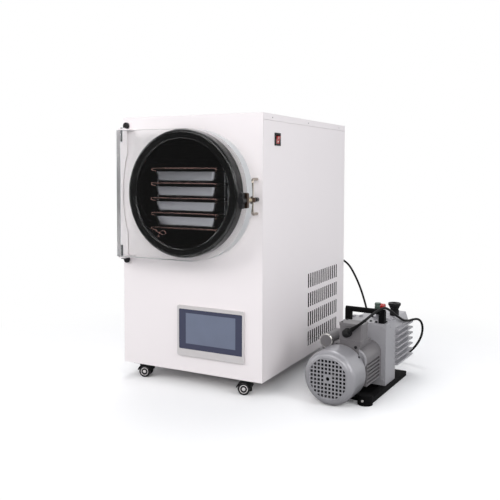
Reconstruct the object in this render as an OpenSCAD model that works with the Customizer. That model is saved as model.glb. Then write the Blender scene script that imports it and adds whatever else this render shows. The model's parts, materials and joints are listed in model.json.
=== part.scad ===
// Tray freeze dryer: a floor cabinet with a round vacuum chamber behind a clear door,
// and the oil-sealed vacuum pump that stands beside it.
// The cabinet's outer front face is y = 0, its left side x = 0 and the floor z = 0
// until in_frame() moves everything to the middle of the footprint.

/* [Cabinet] */
// Width of the cabinet
body_w = 460; // [440:5:480]
// Depth of the cabinet
body_d = 640; // [620:5:680]
// Height of the cabinet above its casters
body_h = 726; // [720:2:760]
// Sheet metal thickness
sheet_t = 2; // [1.5:0.5:3]
// Height of the side lip of the top cover
cover_lip = 18; // [12:1:24]
// Gap between the folded sheets
seam_gap = 0.8; // [0.4:0.1:1.2]

/* [Side vents] */
// Rows of slots on each side
vent_rows = 4; // [2:1:4]
// Slots in a row
vent_cols = 15; // [8:1:15]
// Spacing of the slots along a row
vent_pitch = 17.4; // [16:0.2:18]
// Width of a slot
vent_slot_w = 9; // [6:0.5:11]
// Height of a slot
vent_slot_h = 44; // [30:1:48]
// Spacing of the rows
vent_row_pitch = 60; // [56:1:64]
// Distance from the front to the first slot
vent_start_y = 317; // [300:1:325]
// Height of the lowest row's lower edge above the floor
vent_start_z = 72; // [66:1:80]

/* [Casters] */
// Height of a caster from floor to mounting face
caster_h = 42; // [42:1:50]
// Diameter of a caster wheel
caster_wheel_d = 34; // [30:1:34]
// Distance of a caster stem from the cabinet's side
caster_inset_x = 48; // [40:1:60]
// Distance of a caster stem from the front and back
caster_inset_y = 22; // [20:1:60]
// Horizontal distance from stem to axle
caster_trail = 14; // [12:1:18]
// Angle at which the casters stand
caster_turn = 15; // [0:1:30]

/* [Chamber] */
// Height of the chamber's axis above the floor
chamber_z = 550; // [540:1:560]
// Inside radius of the chamber
chamber_r = 152; // [140:1:156]
// Wall thickness of the chamber
chamber_wall = 4; // [3:0.5:6]
// Depth of the chamber behind the front panel
chamber_len = 500; // [420:10:520]
// Outside radius of the door gasket
gasket_r = 178; // [170:1:180]
// Distance that the gasket stands out of the front panel
gasket_reach = 36; // [30:1:40]

/* [Shelves and trays] */
// Number of trays, one fewer than the shelves
tray_count = 4; // [4:1:4]
// Spacing of the shelves
shelf_pitch = 42; // [38:1:43]
// Height of the top shelf above the chamber's axis
shelf_top = 71; // [60:1:76]
// Width of a shelf
shelf_w = 218; // [200:1:220]
// Depth of a shelf
shelf_d = 450; // [400:5:470]
// Width of a tray at its rim
tray_w = 200; // [180:1:204]
// Height of a tray
tray_h = 31; // [18:1:32]
// Wall thickness of a tray
tray_t = 1.2; // [0.8:0.1:2]

/* [Door] */
// Thickness of the clear door
door_t = 30; // [20:1:32]
// Half of the door's height
door_half_h = 180; // [178:1:190]
// Height of the door's middle above the chamber's axis
door_rise = -3; // [-5:1:0]
// Left edge of the door from the cabinet's left side
door_left = 27; // [20:1:32]
// Right edge of the door from the cabinet's left side
door_right = 448; // [440:1:448]
// Distance of the hinge pins from the door's left edge
hinge_inset = 11; // [9:1:14]
// Diameter of a hinge pin
hinge_pin_d = 8; // [6:1:9]

/* [Latch] */
// Height of the bail's middle above the chamber's axis
bail_rise = -5; // [-10:1:4]
// Height of the swing bolt below the bail's middle
bolt_drop = 8; // [0:1:20]
// Distance of the latch bolt from the cabinet's left side
latch_x = 444; // [440:1:446]
// Diameter of the bail rod and of the bolt
rod_d = 8; // [6:1:9]
// Distance between the legs of the bail
bail_span = 92; // [80:2:100]
// Distance of the bail rod's axis from the panel
bail_reach = 30; // [26:1:32]

/* [Controls] */
// Width of the screen's frame
screen_w = 216; // [200:1:220]
// Height of the screen's frame
screen_h = 144; // [130:1:150]
// Middle of the screen from the cabinet's left side
screen_x = 300; // [280:1:310]
// Middle of the screen above the floor
screen_z = 160; // [150:1:170]
// Side of the square switch frame
switch_w = 35; // [30:1:38]
// Middle of the switch from the front
switch_y = 89; // [80:1:100]
// Middle of the switch above the floor
switch_z = 700; // [680:1:710]

/* [Pump] */
// Distance of the pump's axis from the cabinet's left side
pump_x = 638; // [630:1:660]
// Distance of the pump's front from the cabinet's front
pump_y = 24; // [0:1:40]
// Angle of the pump to the cabinet
pump_turn = 3; // [0:0.5:5]
// Height of the motor's axis above the floor
motor_z = 74; // [74:1:78]
// Diameter of the fan cover
fan_cover_d = 145; // [138:1:147]
// Length of the fan cover
fan_cover_len = 84; // [70:1:90]
// Length of the motor's body behind the fan cover
motor_len = 119; // [110:1:130]
// Width of the pump block
block_w = 127; // [120:1:132]
// Length of the pump block
block_len = 82; // [70:1:90]
// Height of the top of the pump block above the floor
block_top = 187; // [180:1:190]
// Length of the oil case
oil_len = 145; // [120:1:150]
// Number of fins on each side of the oil case
fin_count = 7; // [5:1:8]

/* [Hidden] */

$fn = 64;
body_z = caster_h;                      // underside of the cabinet
body_top = body_z + body_h;
chamber_x = body_w / 2;
drum_r = chamber_r + chamber_wall;
fit = 0.05;                             // radial clearance of a running fit
play = 0.3;                             // clearance beside a moving part

// Pump dimensions that follow from the others, in the pump's own frame
motor_end = fan_cover_len + motor_len;
block_end = motor_end + block_len;
pump_len = block_end + oil_len;
body_mid_x = 21.5;                      // middle of the block, beside the motor's axis
fin_reach = 8;                          // distance of the fins past the block's sides
rail_z = 14;                            // top of the pump's base

// The footprint, from which the origin is worked out
latch_reach = 96;                       // front of the latch knob, in front of the panel
port_reach = 26;                        // back of the vacuum port, behind the cabinet
foot_min_x = 0;
foot_max_x = pump_x + (body_mid_x + block_w / 2 + fin_reach) * cos(pump_turn)
  + pump_len * sin(pump_turn);
foot_min_y = -latch_reach;
foot_max_y = body_d + port_reach;

module in_frame() {
  translate([-(foot_min_x + foot_max_x) / 2, -(foot_min_y + foot_max_y) / 2, 0]) children();
}

module at_pump() {
  in_frame() translate([pump_x, pump_y, 0]) rotate([0, 0, -pump_turn]) children();
}

// Shapes used more than once ------------------------------------------------

// Cylinder from y = from to y = to, around (x, z)
module y_cyl(x, z, from, to, r) {
  translate([x, from, z]) rotate([-90, 0, 0]) cylinder(h = to - from, r = r);
}

// Cylinder from x = from to x = to, around (y, z)
module x_cyl(y, z, from, to, r) {
  translate([from, y, z]) rotate([0, 90, 0]) cylinder(h = to - from, r = r);
}

// Block given by its lowest and highest corners
module box(low, high) {
  translate(low) cube(high - low);
}

// Flat rectangle with round corners, its lower left corner at the origin
module round_rect(w, h, r) {
  translate([r, 0]) square([w - 2 * r, h]);
  translate([0, r]) square([w, h - 2 * r]);
  for (x = [r, w - r], y = [r, h - r]) translate([x, y]) circle(r);
}

// Plate with round corners that stands in the XZ plane, from y = from to y = to
module xz_plate(x0, z0, w, h, r, from, to) {
  translate([x0, to, z0]) rotate([90, 0, 0]) linear_extrude(to - from) round_rect(w, h, r);
}

// Cabinet ---------------------------------------------------------------------

pan_lip = 26;                           // height of the floor pan's upturned edges
fold_start = body_z + pan_lip + 2;      // lower ends of the folds of the outer sheets
fold_w = 14;

// Floor pan with upturned edges, which carries everything inside
module base_frame() {
  x0 = sheet_t;
  x1 = body_w - sheet_t;
  y0 = sheet_t;
  y1 = body_d - sheet_t;
  color("whitesmoke") in_frame() difference() {
    union() {
      box([x0, y0, body_z], [x1, y1, body_z + sheet_t]);
      for (y = [y0, y1 - sheet_t]) box([x0, y, body_z], [x1, y + sheet_t, body_z + pan_lip]);
      for (x = [x0, x1 - sheet_t]) box([x, y0, body_z], [x + sheet_t, y1, body_z + pan_lip]);
    }
    for (c = caster_places) translate([c[0], c[1], body_z - 1]) cylinder(h = sheet_t + 2, r = 4);
  }
}

// Front sheet: folded edges, the chamber's round opening and the screen's window
module front_panel() {
  top = body_top - sheet_t;
  color("white") in_frame() difference() {
    union() {
      box([0, 0, body_z], [body_w, sheet_t, body_top]);
      for (x = [sheet_t, body_w - 2 * sheet_t]) box([x, 0, fold_start], [x + sheet_t, fold_w, top]);
      box([sheet_t, 0, top - sheet_t], [body_w - sheet_t, fold_w, top]);
    }
    y_cyl(chamber_x, chamber_z, -1, sheet_t + 1, drum_r + 4);
    xz_plate(screen_x - screen_w / 2 + 8, screen_z - screen_h / 2 + 16, screen_w - 16,
      screen_h - 28, 4, -1, sheet_t + 1);
    for (z = hinge_bolt_z) y_cyl(hinge_bolt_x, z, -1, sheet_t + 1, 4.2);
  }
}

// Side sheet of the cabinet, drawn at x = 0, with its vents and two folded edges
module side_sheet(with_switch) {
  front = sheet_t + seam_gap;
  back = body_d - sheet_t;
  top = body_top - cover_lip - seam_gap;
  behind_fold = fold_w + 2;
  difference() {
    union() {
      box([0, front, body_z], [sheet_t, back, top]);
      box([0, back - sheet_t, fold_start], [fold_w, back, top]);
      box([0, behind_fold, top - sheet_t], [2 * sheet_t, back, top]);
      box([sheet_t, behind_fold, top - sheet_t], [2 * sheet_t, back - behind_fold, body_top - sheet_t]);
    }
    for (s = cover_screws) x_cyl(s[0], s[1], -1, fold_w, screw_r + 0.1);
    for (row = [0:vent_rows - 1], col = [0:vent_cols - 1])
      translate([-1, vent_start_y + col * vent_pitch, vent_start_z + row * vent_row_pitch])
        cube([sheet_t + 2, vent_slot_w, vent_slot_h]);
    if (with_switch)
      box([-1, switch_y - 14, switch_z - 14], [sheet_t + 1, switch_y + 14, switch_z + 14]);
  }
}

module left_side_panel() {
  color("white") in_frame() side_sheet(false);
}

module right_side_panel() {
  color("white") in_frame() translate([body_w, 0, 0]) mirror([1, 0, 0]) side_sheet(true);
}

// Centres of the fittings on the back panel, as [x, z]
port_place = [body_w / 2, chamber_z];
pipe_r = 16;
pipe_bore_r = 12.7;
inlet_place = [90, 150];
outlet_place = [400, 300];

module back_panel() {
  back = body_d;
  color("white") in_frame() difference() {
    box([0, back - sheet_t, body_z], [body_w, back, body_top]);
    y_cyl(port_place[0], port_place[1], back - sheet_t - 1, back + 1, pipe_r + 1);
    for (p = [inlet_place, outlet_place])
      box([p[0] - 14, back - sheet_t - 1, p[1] - 12], [p[0] + 14, back + 1, p[1] + 12]);
    for (row = [0:3], col = [0:9])
      translate([130 + col * 22, back - sheet_t - 1, 70 + row * 34])
        cube([12, sheet_t + 2, 24]);
  }
}

// Lid: the flat top, its two side lips and a front return behind the front sheet
module top_cover() {
  front = sheet_t + seam_gap;
  back = body_d - sheet_t;
  color("white") in_frame() difference() {
    union() {
      box([0, front, body_top - sheet_t], [body_w, back, body_top]);
      for (x = [0, body_w - sheet_t])
        box([x, front, body_top - cover_lip], [x + sheet_t, back, body_top]);
    }
    for (s = cover_screws) x_cyl(s[0], s[1], -1, body_w + 1, screw_r + 0.1);
  }
}

screw_r = 1.9;

// Lid screws on each side, as [y, z], and the corner screws of the back panel, as [x, z]
cover_screws = [[60, body_top - 10], [313, body_top - 10], [580, body_top - 10]];
back_screws = [for (x = [12, body_w - 12], z = [60, 250, 480, body_top - 30]) [x, z]];

// Lid screws, sunk a little below the lips, and the round heads on the back
module case_screws() {
  sunk = 0.3;
  screw_len = 7;
  color("dimgray") in_frame() {
    for (s = cover_screws) {
      x_cyl(s[0], s[1], sunk, sunk + screw_len, screw_r);
      x_cyl(s[0], s[1], body_w - sunk - screw_len, body_w - sunk, screw_r);
    }
    for (s = back_screws) y_cyl(s[0], s[1], body_d, body_d + 1.6, 4.5);
  }
}

// Chamber -----------------------------------------------------------------------

drum_reach = 24;                        // distance of the drum's edge in front of the panel

// Welded drum: open at the front, closed at the back, with its vacuum pipe
module chamber_drum() {
  back_t = 6;
  color([0.08, 0.08, 0.09]) in_frame() difference() {
    union() {
      y_cyl(chamber_x, chamber_z, -drum_reach, chamber_len, drum_r);
      y_cyl(port_place[0], port_place[1], chamber_len, body_d, pipe_r);
    }
    y_cyl(chamber_x, chamber_z, -drum_reach - 1, chamber_len - back_t, chamber_r);
    y_cyl(port_place[0], port_place[1], chamber_len - back_t - 1, body_d + 1, pipe_bore_r);
  }
}

// Rubber ring pushed over the drum's front edge; the door closes against its face
module door_gasket() {
  inner_r = chamber_r - 2;
  start = 1;                            // in front of the panel
  door_gap = 0.4;
  color([0.05, 0.05, 0.05]) in_frame() translate([chamber_x, 0, chamber_z])
    rotate([90, 0, 0]) rotate_extrude($fn = 128) difference() {
      translate([inner_r, start]) round_rect(gasket_r - inner_r, gasket_reach - start - door_gap, 6);
      square([drum_r, drum_reach]);
    }
}

// Two saddles between the floor pan and the drum
module drum_cradle() {
  side = 70;
  color("lightgray") in_frame() for (y = [70, 290]) difference() {
    union() {
      box([side, y, body_z + sheet_t], [body_w - side, y + 4, chamber_z - 70]);
      box([side, y, body_z + sheet_t], [body_w - side, y + 24, body_z + sheet_t + 3]);
    }
    y_cyl(chamber_x, chamber_z, y - 1, y + 5, drum_r);
    box([side + 40, y - 1, body_z + 60], [body_w - side - 40, y + 5, chamber_z - drum_r - 60]);
  }
}

// Shelves and trays -----------------------------------------------------------

shelf_t = 4;
shelf_x = chamber_x - 2 - shelf_w / 2;
shelf_y = -10;
function shelf_z(i) = chamber_z + shelf_top - i * shelf_pitch;      // top face of shelf i

rail_gap = 6;
rail_t = 3;
rail_h = 135;
lug_places = [60, 360];                 // front faces of the lugs that carry the shelves
lug_w = 14;

// Five heated shelves screwed between two side rails, the lowest one on four rods
module shelf_rack() {
  rod_r = 2;
  rod_inset = 3;
  right = shelf_x + shelf_w;
  color([0.16, 0.13, 0.12]) in_frame() {
    for (i = [0:tray_count]) heated_shelf(i);
    for (x = [shelf_x + rod_inset, right - rod_inset], y = lug_places)
      translate([x, y + lug_w / 2, shelf_z(tray_count) + fit])
        cylinder(h = shelf_pitch - shelf_t - 2 * fit, r = rod_r);
    rack_side(shelf_x - rail_gap - rail_t, 0, chamber_x - chamber_r + 0.2);
    rack_side(right + rail_gap, -1, chamber_x + chamber_r - 0.2);
  }
}

// Heated shelf with turned-down edges, which are low on the bottom one
module heated_shelf(i) {
  right = shelf_x + shelf_w;
  edge = (i == tray_count) ? 2 : 3;
  edge_t = 2;
  box([shelf_x, shelf_y, shelf_z(i) - shelf_t], [right, shelf_y + shelf_d, shelf_z(i)]);
  for (x = [shelf_x, right - edge_t])
    box([x, shelf_y, shelf_z(i) - shelf_t - edge],
      [x + edge_t, shelf_y + shelf_d, shelf_z(i) - shelf_t + 1]);
}

// Rail at x with its lugs, which reach to the shelves, and the standoffs to the drum's wall
module rack_side(x, way, wall_x) {
  lug = rail_gap - fit + 1;
  rack_rail(x);
  for (i = [0:tray_count - 1], y = lug_places)
    translate([x + ((way < 0) ? fit - rail_gap : rail_t - 1), y, shelf_z(i) - shelf_t])
      cube([lug, lug_w, shelf_t - 1]);
  for (y = [90, 330])
    x_cyl(y, chamber_z, min(x, wall_x), max(x + rail_t, wall_x), 5);
}

// Upright side plate of the rack with rounded ends
module rack_rail(x) {
  y = [30, 380];
  r = 20;
  translate([x, y[0], shelf_z(0) + 1]) rotate([0, 90, 0]) linear_extrude(rail_t)
    round_rect(rail_h, y[1] - y[0], r);
}

tray_len = 440;
tray_flare = 6;
tray_bay_y = -8;                        // front of a tray, just behind the shelf's edge
tray_shift = -3;                        // sideways place of the trays on the shelves

// Solid of the tray's outside or inside, wider at the rim than at its foot
module tray_form(inset, foot, rim) {
  flare = tray_flare;
  hull() for (z = [foot, rim - 0.1]) {
    in = inset + flare * (1 - z / tray_h);
    translate([in - tray_w / 2, tray_bay_y + in, z]) cube([tray_w - 2 * in, tray_len - 2 * in, 0.1]);
  }
}

// Pressed stainless tray: four flared walls, open top
module tray(i) {
  color("silver") in_frame() translate([shelf_x + shelf_w / 2 + tray_shift, 0, shelf_z(i)])
    difference() {
      tray_form(0, 0, tray_h);
      tray_form(tray_t, tray_t, tray_h + 1);
    }
}

// Refrigeration and electrics ------------------------------------------------------

compressor_place = [150, 470];

// Sealed compressor can on its foot plate
module compressor() {
  color([0.1, 0.1, 0.1]) in_frame()
    translate([compressor_place[0], compressor_place[1], body_z + sheet_t]) {
      rotate_extrude($fn = 96) difference() {
        union() {
          translate([0, 12]) square([76, 128]);
          intersection() {
            translate([0, 70]) circle(104);
            square([76, 190]);
          }
        }
        translate([0, -40]) square([120, 52]);
      }
      for (x = [-70, 56], y = [-70, 56]) translate([x, y, 0]) cube([14, 14, 12]);
      translate([-80, -80, 10]) cube([160, 160, 3]);
    }
}

fan_y = vent_start_y + vent_cols * vent_pitch / 2;
fan_z = 190;

// Finned heat exchanger behind the right-hand vents
module condenser() {
  x0 = body_w - 60;
  fins = 24;
  pitch = 250 / fins;
  color("silver") in_frame() {
    for (k = [0:fins]) translate([x0, fan_y - 125 + k * pitch, 70]) cube([34, 1.2, 232]);
    for (z = [90:48.75:285]) y_cyl(x0 + 17, z, fan_y - 128, fan_y + 128, 5);
    for (y = [fan_y - 128, fan_y + 125.8])
      box([x0 - 2, y, body_z + sheet_t], [x0 + 36, y + 2.2, 306]);
  }
}

fan_x = body_w - 92;

// Square shroud around the condenser fan, with the motor on its spider
module fan_shroud() {
  color([0.12, 0.12, 0.12]) in_frame() {
    difference() {
      box([fan_x, fan_y - 118, 70], [fan_x + 30, fan_y + 118, 306]);
      x_cyl(fan_y, fan_z, fan_x - 1, fan_x + 31, 108);
    }
    x_cyl(fan_y, fan_z, fan_x - 34, fan_x - 2, 30);
    for (a = [45, 135]) translate([fan_x - 8, fan_y, fan_z]) rotate([a, 0, 0])
      translate([0, -122, -4]) cube([8.1, 244, 8]);
    x_cyl(fan_y, fan_z, fan_x - 4, fan_x + 22, 4);
    box([fan_x, fan_y - 118, body_z + sheet_t], [fan_x + 12, fan_y + 118, 72]);
  }
}

// Five-blade axial fan on the motor's shaft
module condenser_fan() {
  color([0.25, 0.25, 0.27]) in_frame() translate([fan_x + 3, fan_y, fan_z]) rotate([0, 90, 0])
    difference() {
      union() {
        cylinder(h = 22, r = 26);
        for (k = [0:4]) rotate([0, 0, k * 72]) translate([20, 0, 11]) rotate([24, 0, 0])
          translate([0, -22, -1.5]) cube([78, 44, 3]);
      }
      translate([0, 0, -1]) cylinder(h = 20.5, r = 4 + fit);
    }
}

// Circuit board on its tray under the chamber, with power parts
module control_board() {
  tray_y = 18;
  board_y = 28;
  color("darkgreen") in_frame() {
    box([190, tray_y, body_z + sheet_t], [390, tray_y + 2, 240]);
    box([190, tray_y, body_z + sheet_t], [390, tray_y + 20, body_z + sheet_t + 2]);
    for (x = [205, 375], z = [98, 226]) y_cyl(x, z, tray_y + 1, board_y + 1, 3);
    box([195, board_y, 90], [385, board_y + 2, 234]);
    box([300, board_y + 1, 110], [350, board_y + 32, 160]);
    box([215, board_y + 1, 180], [255, board_y + 22, 215]);
  }
}

// Door ------------------------------------------------------------------------

door_back = -gasket_reach;
door_front = door_back - door_t;
door_mid_x = 248;                       // where the straight edges meet the round end
hinge_x = door_left + hinge_inset;
hinge_y = door_back - door_t / 2;
door_z = chamber_z + door_rise;
bail_z = chamber_z + bail_rise;
latch_z = bail_z - bolt_drop;
notch_half = 10;
notch_x = latch_x - 14;
round_power = 2.25;                     // 2 is an ellipse; more gives fuller corners

// Outline of the door's round end: a superellipse between the two straight edges
door_end = [for (a = [-90:3:90])
  [door_mid_x + (door_right - door_mid_x) * pow(abs(cos(a)), 2 / round_power),
   door_z + door_half_h * sign(sin(a)) * pow(abs(sin(a)), 2 / round_power)]];

// Thick clear plate, straight at the hinge and round at the latch, with the bolt's slot
module door() {
  pin_depth = 34;
  color([0.85, 0.92, 0.95, 0.35]) in_frame() difference() {
    translate([0, door_back, 0]) rotate([90, 0, 0]) linear_extrude(door_t)
      polygon(concat([[door_left, door_z + door_half_h], [door_left, door_z - door_half_h]],
        door_end));
    box([notch_x + notch_half, door_front - 1, latch_z - notch_half],
      [body_w, door_back + 1, latch_z + notch_half]);
    y_cyl(notch_x + notch_half, latch_z, door_front - 1, door_back + 1, notch_half);
    translate([hinge_x, hinge_y, door_z + door_half_h - pin_depth])
      cylinder(h = pin_depth + 1, r = hinge_pin_d / 2 + fit);
    translate([hinge_x, hinge_y, door_z - door_half_h - 1])
      cylinder(h = pin_depth + 1, r = hinge_pin_d / 2 + fit);
  }
}

hinge_bolt_x = 15;
hinge_over = 16;                        // distance of a hinge bolt past the door's edge
hinge_bolt_z = [door_z - door_half_h - hinge_over, door_z + door_half_h + hinge_over];
hinge_tab_t = 4;
hinge_gap = 1;                          // between the door's edges and the tabs

strip_w = 24;
strip_waist = 7;                        // width of the strip beside the gasket
strip_arc_r = 413;

// Strip on the front panel with a tab over the door's top and one under its bottom
module hinge_plate() {
  low = door_z - door_half_h - hinge_gap;
  high = door_z + door_half_h + hinge_gap;
  end_h = hinge_over + 11;
  x0 = 3;
  color("white") in_frame() difference() {
    union() {
      difference() {
        box([x0, -3, low - end_h], [x0 + strip_w, 0, high + end_h]);
        y_cyl(x0 + strip_waist + strip_arc_r, door_z, -4, 1, strip_arc_r);
      }
      for (z = [high, low - hinge_tab_t]) {
        box([22, -3, z], [hinge_x + 13, 0, z + hinge_tab_t]);
        box([hinge_x - 13, hinge_y, z], [hinge_x + 13, -1, z + hinge_tab_t]);
        translate([hinge_x, hinge_y, z]) cylinder(h = hinge_tab_t, r = 13);
      }
    }
    for (z = [high, low - hinge_tab_t]) translate([hinge_x, hinge_y, z - 1])
      cylinder(h = hinge_tab_t + 2, r = hinge_pin_d / 2);
    for (z = hinge_bolt_z) y_cyl(hinge_bolt_x, z, -4, 1, 4.2);
  }
}

// Shouldered pins through the tabs into the door's edges
module hinge_pins() {
  low = door_z - door_half_h;
  high = door_z + door_half_h;
  head = hinge_gap + hinge_tab_t;
  color("dimgray") in_frame() translate([hinge_x, hinge_y, 0]) {
    translate([0, 0, high - 32]) cylinder(h = 32 + head, r = hinge_pin_d / 2);
    translate([0, 0, high + head]) cylinder(h = 3, r = 7);
    translate([0, 0, low - head]) cylinder(h = 32 + head, r = hinge_pin_d / 2);
    translate([0, 0, low - head - 3]) cylinder(h = 3, r = 7);
  }
}

// Two large round-headed bolts that hold the hinge strip
module hinge_bolts() {
  color([0.12, 0.12, 0.12]) in_frame() for (z = hinge_bolt_z) {
    y_cyl(hinge_bolt_x, z, -3, 18, 4);
    intersection() {
      y_cyl(hinge_bolt_x, z, -10, -3, 10.5);
      translate([hinge_bolt_x, 3, z]) sphere(15, $fn = 64);
    }
  }
}

// Latch -------------------------------------------------------------------------

bail_bend = 10;                         // bend radius of the bail rod's axis

// Round rod bent to a U, its two ends on the front panel
module latch_bail() {
  half = bail_span / 2;
  color("silver") in_frame() translate([latch_x, 0, bail_z]) {
    translate([0, -bail_reach, -half + bail_bend])
      cylinder(h = bail_span - 2 * bail_bend, r = rod_d / 2);
    for (s = [-1, 1]) {
      y_cyl(0, s * half, -bail_reach + bail_bend, 0, rod_d / 2);
      y_cyl(0, s * half, -2.5, 0, 8);
      translate([0, -bail_reach + bail_bend, s * (half - bail_bend)])
        rotate([90, 0, 90]) rotate([0, 0, s > 0 ? 90 : 180])
          rotate_extrude(angle = 90) translate([bail_bend, 0]) circle(rod_d / 2);
    }
  }
}

// Rubber stop behind the bolt's eye
module latch_bumper() {
  color([0.06, 0.06, 0.06]) in_frame() {
    y_cyl(latch_x, latch_z, -8, 0, 6);
    intersection() {
      y_cyl(latch_x, latch_z, -13, -8, 6);
      translate([latch_x, -5, latch_z]) sphere(8);
    }
  }
}

eye_r = 9;
bolt_end = -latch_reach + 3;

// Swing bolt: an eye that turns on the bail, and its round shank
module latch_bolt() {
  color([0.35, 0.25, 0.18]) in_frame() translate([latch_x, 0, latch_z]) difference() {
    union() {
      translate([0, -bail_reach, -6]) cylinder(h = 12, r = eye_r);
      y_cyl(0, 0, bolt_end, -bail_reach - 5, rod_d / 2);
      translate([-6, -bail_reach - 12, -6]) cube([12, 12, 12]);
    }
    translate([0, -bail_reach, -8]) cylinder(h = 16, r = rod_d / 2 + fit);
  }
}

// Brass sleeve on the shank, inside the door's slot
module latch_spacer() {
  color("goldenrod") in_frame() difference() {
    y_cyl(latch_x, latch_z, door_front + 4, -bail_reach - 14, 7);
    y_cyl(latch_x, latch_z, door_front, -bail_reach - 10, rod_d / 2);
  }
}

pad_front = door_front - play - 10;
pad_w = 20;

// Clamp pad that bridges the slot and presses on the door's face
module clamp_pad() {
  color([0.13, 0.09, 0.07]) in_frame() difference() {
    xz_plate(latch_x - pad_w / 2, latch_z - 20, pad_w, 40, 4, pad_front, door_front - play);
    y_cyl(latch_x, latch_z, pad_front - 1, door_front + 1, rod_d / 2 + fit);
  }
}

// Wing knob that screws along the shank
module latch_knob() {
  color([0.05, 0.05, 0.05]) in_frame() difference() {
    union() {
      y_cyl(latch_x, latch_z, -latch_reach, pad_front - 0.3, 9);
      xz_plate(latch_x - 5, latch_z - 21, 10, 42, 4.9, -latch_reach + 3, pad_front - 4);
    }
    y_cyl(latch_x, latch_z, bolt_end - 0.5, pad_front + 1, rod_d / 2 + fit);
  }
}

// Controls -------------------------------------------------------------------------

screen_proud = 6;

// Silver frame around the touch screen, deeper at its lower edge
module screen_bezel() {
  x0 = screen_x - screen_w / 2;
  z0 = screen_z - screen_h / 2;
  color("lightgray") in_frame() difference() {
    xz_plate(x0, z0, screen_w, screen_h, 6, -screen_proud, 0);
    xz_plate(x0 + 6, z0 + 20, screen_w - 12, screen_h - 30, 3, -screen_proud - 1, 1);
  }
}

// Dark glass with the display behind it
module touch_screen() {
  x0 = screen_x - screen_w / 2;
  z0 = screen_z - screen_h / 2;
  color([0.2, 0.24, 0.3]) in_frame() {
    xz_plate(x0 + 6, z0 + 20, screen_w - 12, screen_h - 30, 3, -screen_proud + 1.5, 0);
    xz_plate(x0 + 10, z0 + 18, screen_w - 20, screen_h - 32, 3, 0, 12);
  }
}

// Square black frame of the power switch
module switch_bezel() {
  x = body_w;
  color([0.06, 0.06, 0.06]) in_frame() difference() {
    union() {
      box([x, switch_y - switch_w / 2, switch_z - switch_w / 2],
        [x + 3, switch_y + switch_w / 2, switch_z + switch_w / 2]);
      box([x - 22, switch_y - 13.5, switch_z - 13.5], [x, switch_y + 13.5, switch_z + 13.5]);
    }
    box([x - 16, switch_y - 11.5, switch_z - 12.5], [x + 4, switch_y + 11.5, switch_z + 12.5]);
    y_cyl(rocker_pivot_x, switch_z, switch_y - 14, switch_y + 14, 1.5 + fit);
  }
}

rocker_half = 10.7;
rocker_pivot_x = body_w - 4;
rocker_tilt = 12;

// Red rocker on its pivot, resting with the upper half out
module power_rocker() {
  half_y = 10.5;
  color("firebrick") in_frame() translate([rocker_pivot_x, switch_y, switch_z]) {
    rotate([0, rocker_tilt, 0]) rotate([90, 0, 0]) translate([0, 0, -half_y])
      linear_extrude(2 * half_y) polygon([[-4, -3], [6, -rocker_half], [8.5, -rocker_half], [7, 0],
        [8.5, rocker_half], [6, rocker_half], [-4, 3]]);
    y_cyl(0, 0, -13, 13, 1.5);
  }
}

// Casters -----------------------------------------------------------------------------

// Stem places and standing angles: front left, front right, back right, back left
caster_places = [
  [caster_inset_x, caster_inset_y, caster_turn],
  [body_w - caster_inset_x, caster_inset_y, caster_turn + 180],
  [body_w - caster_inset_x, body_d - caster_inset_y, caster_turn + 180],
  [caster_inset_x, body_d - caster_inset_y, caster_turn]];
wheel_r = caster_wheel_d / 2;
web_half = 6;
tread_w = 10;
axle_r = 3;
stem_r = 4;

// Mounting plates and kingpins, bolted under the floor pan
module caster_stems() {
  color("silver") in_frame() for (c = caster_places) translate([c[0], c[1], 0]) {
    translate([-17, -17, body_z - 2.5]) cube([34, 34, 2.5]);
    translate([0, 0, 16]) cylinder(h = body_z - 16, r = stem_r);
  }
}

module at_caster(i) {
  c = caster_places[i];
  in_frame() translate([c[0], c[1], 0]) rotate([0, 0, c[2]]) children();
}

// Moulded body that turns on the kingpin: a web between the wheels and two mudguards
module caster_hood(i) {
  guard_r = wheel_r + 4.5;
  half = web_half + tread_w + 1.5;
  top = body_z - 3.4;
  guard_z = 21;
  color([0.07, 0.07, 0.08]) at_caster(i) difference() {
    union() {
      translate([0, 0, 9]) cylinder(h = top - 9, r = web_half);
      translate([0, -web_half, 9]) cube([caster_trail, 2 * web_half, top - 12]);
      y_cyl(caster_trail, wheel_r, -web_half, web_half, wheel_r - 3);
      difference() {
        intersection() {
          y_cyl(caster_trail, wheel_r, -half, half, guard_r);
          box([-20, -half, guard_z], [60, half, top]);
        }
        for (side = [-half - 1, web_half])
          y_cyl(caster_trail, wheel_r, side, side + tread_w + 2.5, wheel_r + 1.5);
      }
    }
    translate([0, 0, 15]) cylinder(h = body_z, r = stem_r + fit);
    y_cyl(caster_trail, wheel_r, -half - 1, half + 1, axle_r + fit);
  }
}

// Pair of wheels on one axle
module caster_wheels(i) {
  edge = 2;
  inner = web_half + 0.5;
  color([0.09, 0.09, 0.1]) at_caster(i) {
    y_cyl(caster_trail, wheel_r, -inner - tread_w, inner + tread_w, axle_r);
    for (side = [-inner, inner + tread_w]) translate([caster_trail, side, wheel_r])
      rotate([90, 0, 0]) rotate_extrude() {
        square([wheel_r - edge, tread_w]);
        translate([0, edge]) square([wheel_r, tread_w - 2 * edge]);
        for (z = [edge, tread_w - edge]) translate([wheel_r - edge, z]) circle(edge, $fn = 32);
      }
  }
}

// Fittings on the back -----------------------------------------------------------------

// Clamped flange that the pump's hose goes on
module vacuum_port() {
  color("silver") in_frame() translate([port_place[0], body_d, port_place[1]]) difference() {
    union() {
      y_cyl(0, 0, 0, 3, 30);
      y_cyl(0, 0, 0, port_reach - 4, pipe_r - 1);
      y_cyl(0, 0, port_reach - 4, port_reach, 20);
    }
    y_cyl(0, 0, -1, port_reach + 1, pipe_bore_r);
    for (a = [45:90:315]) y_cyl(25 * cos(a), 25 * sin(a), -1, 4, 2.2);
  }
}

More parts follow.
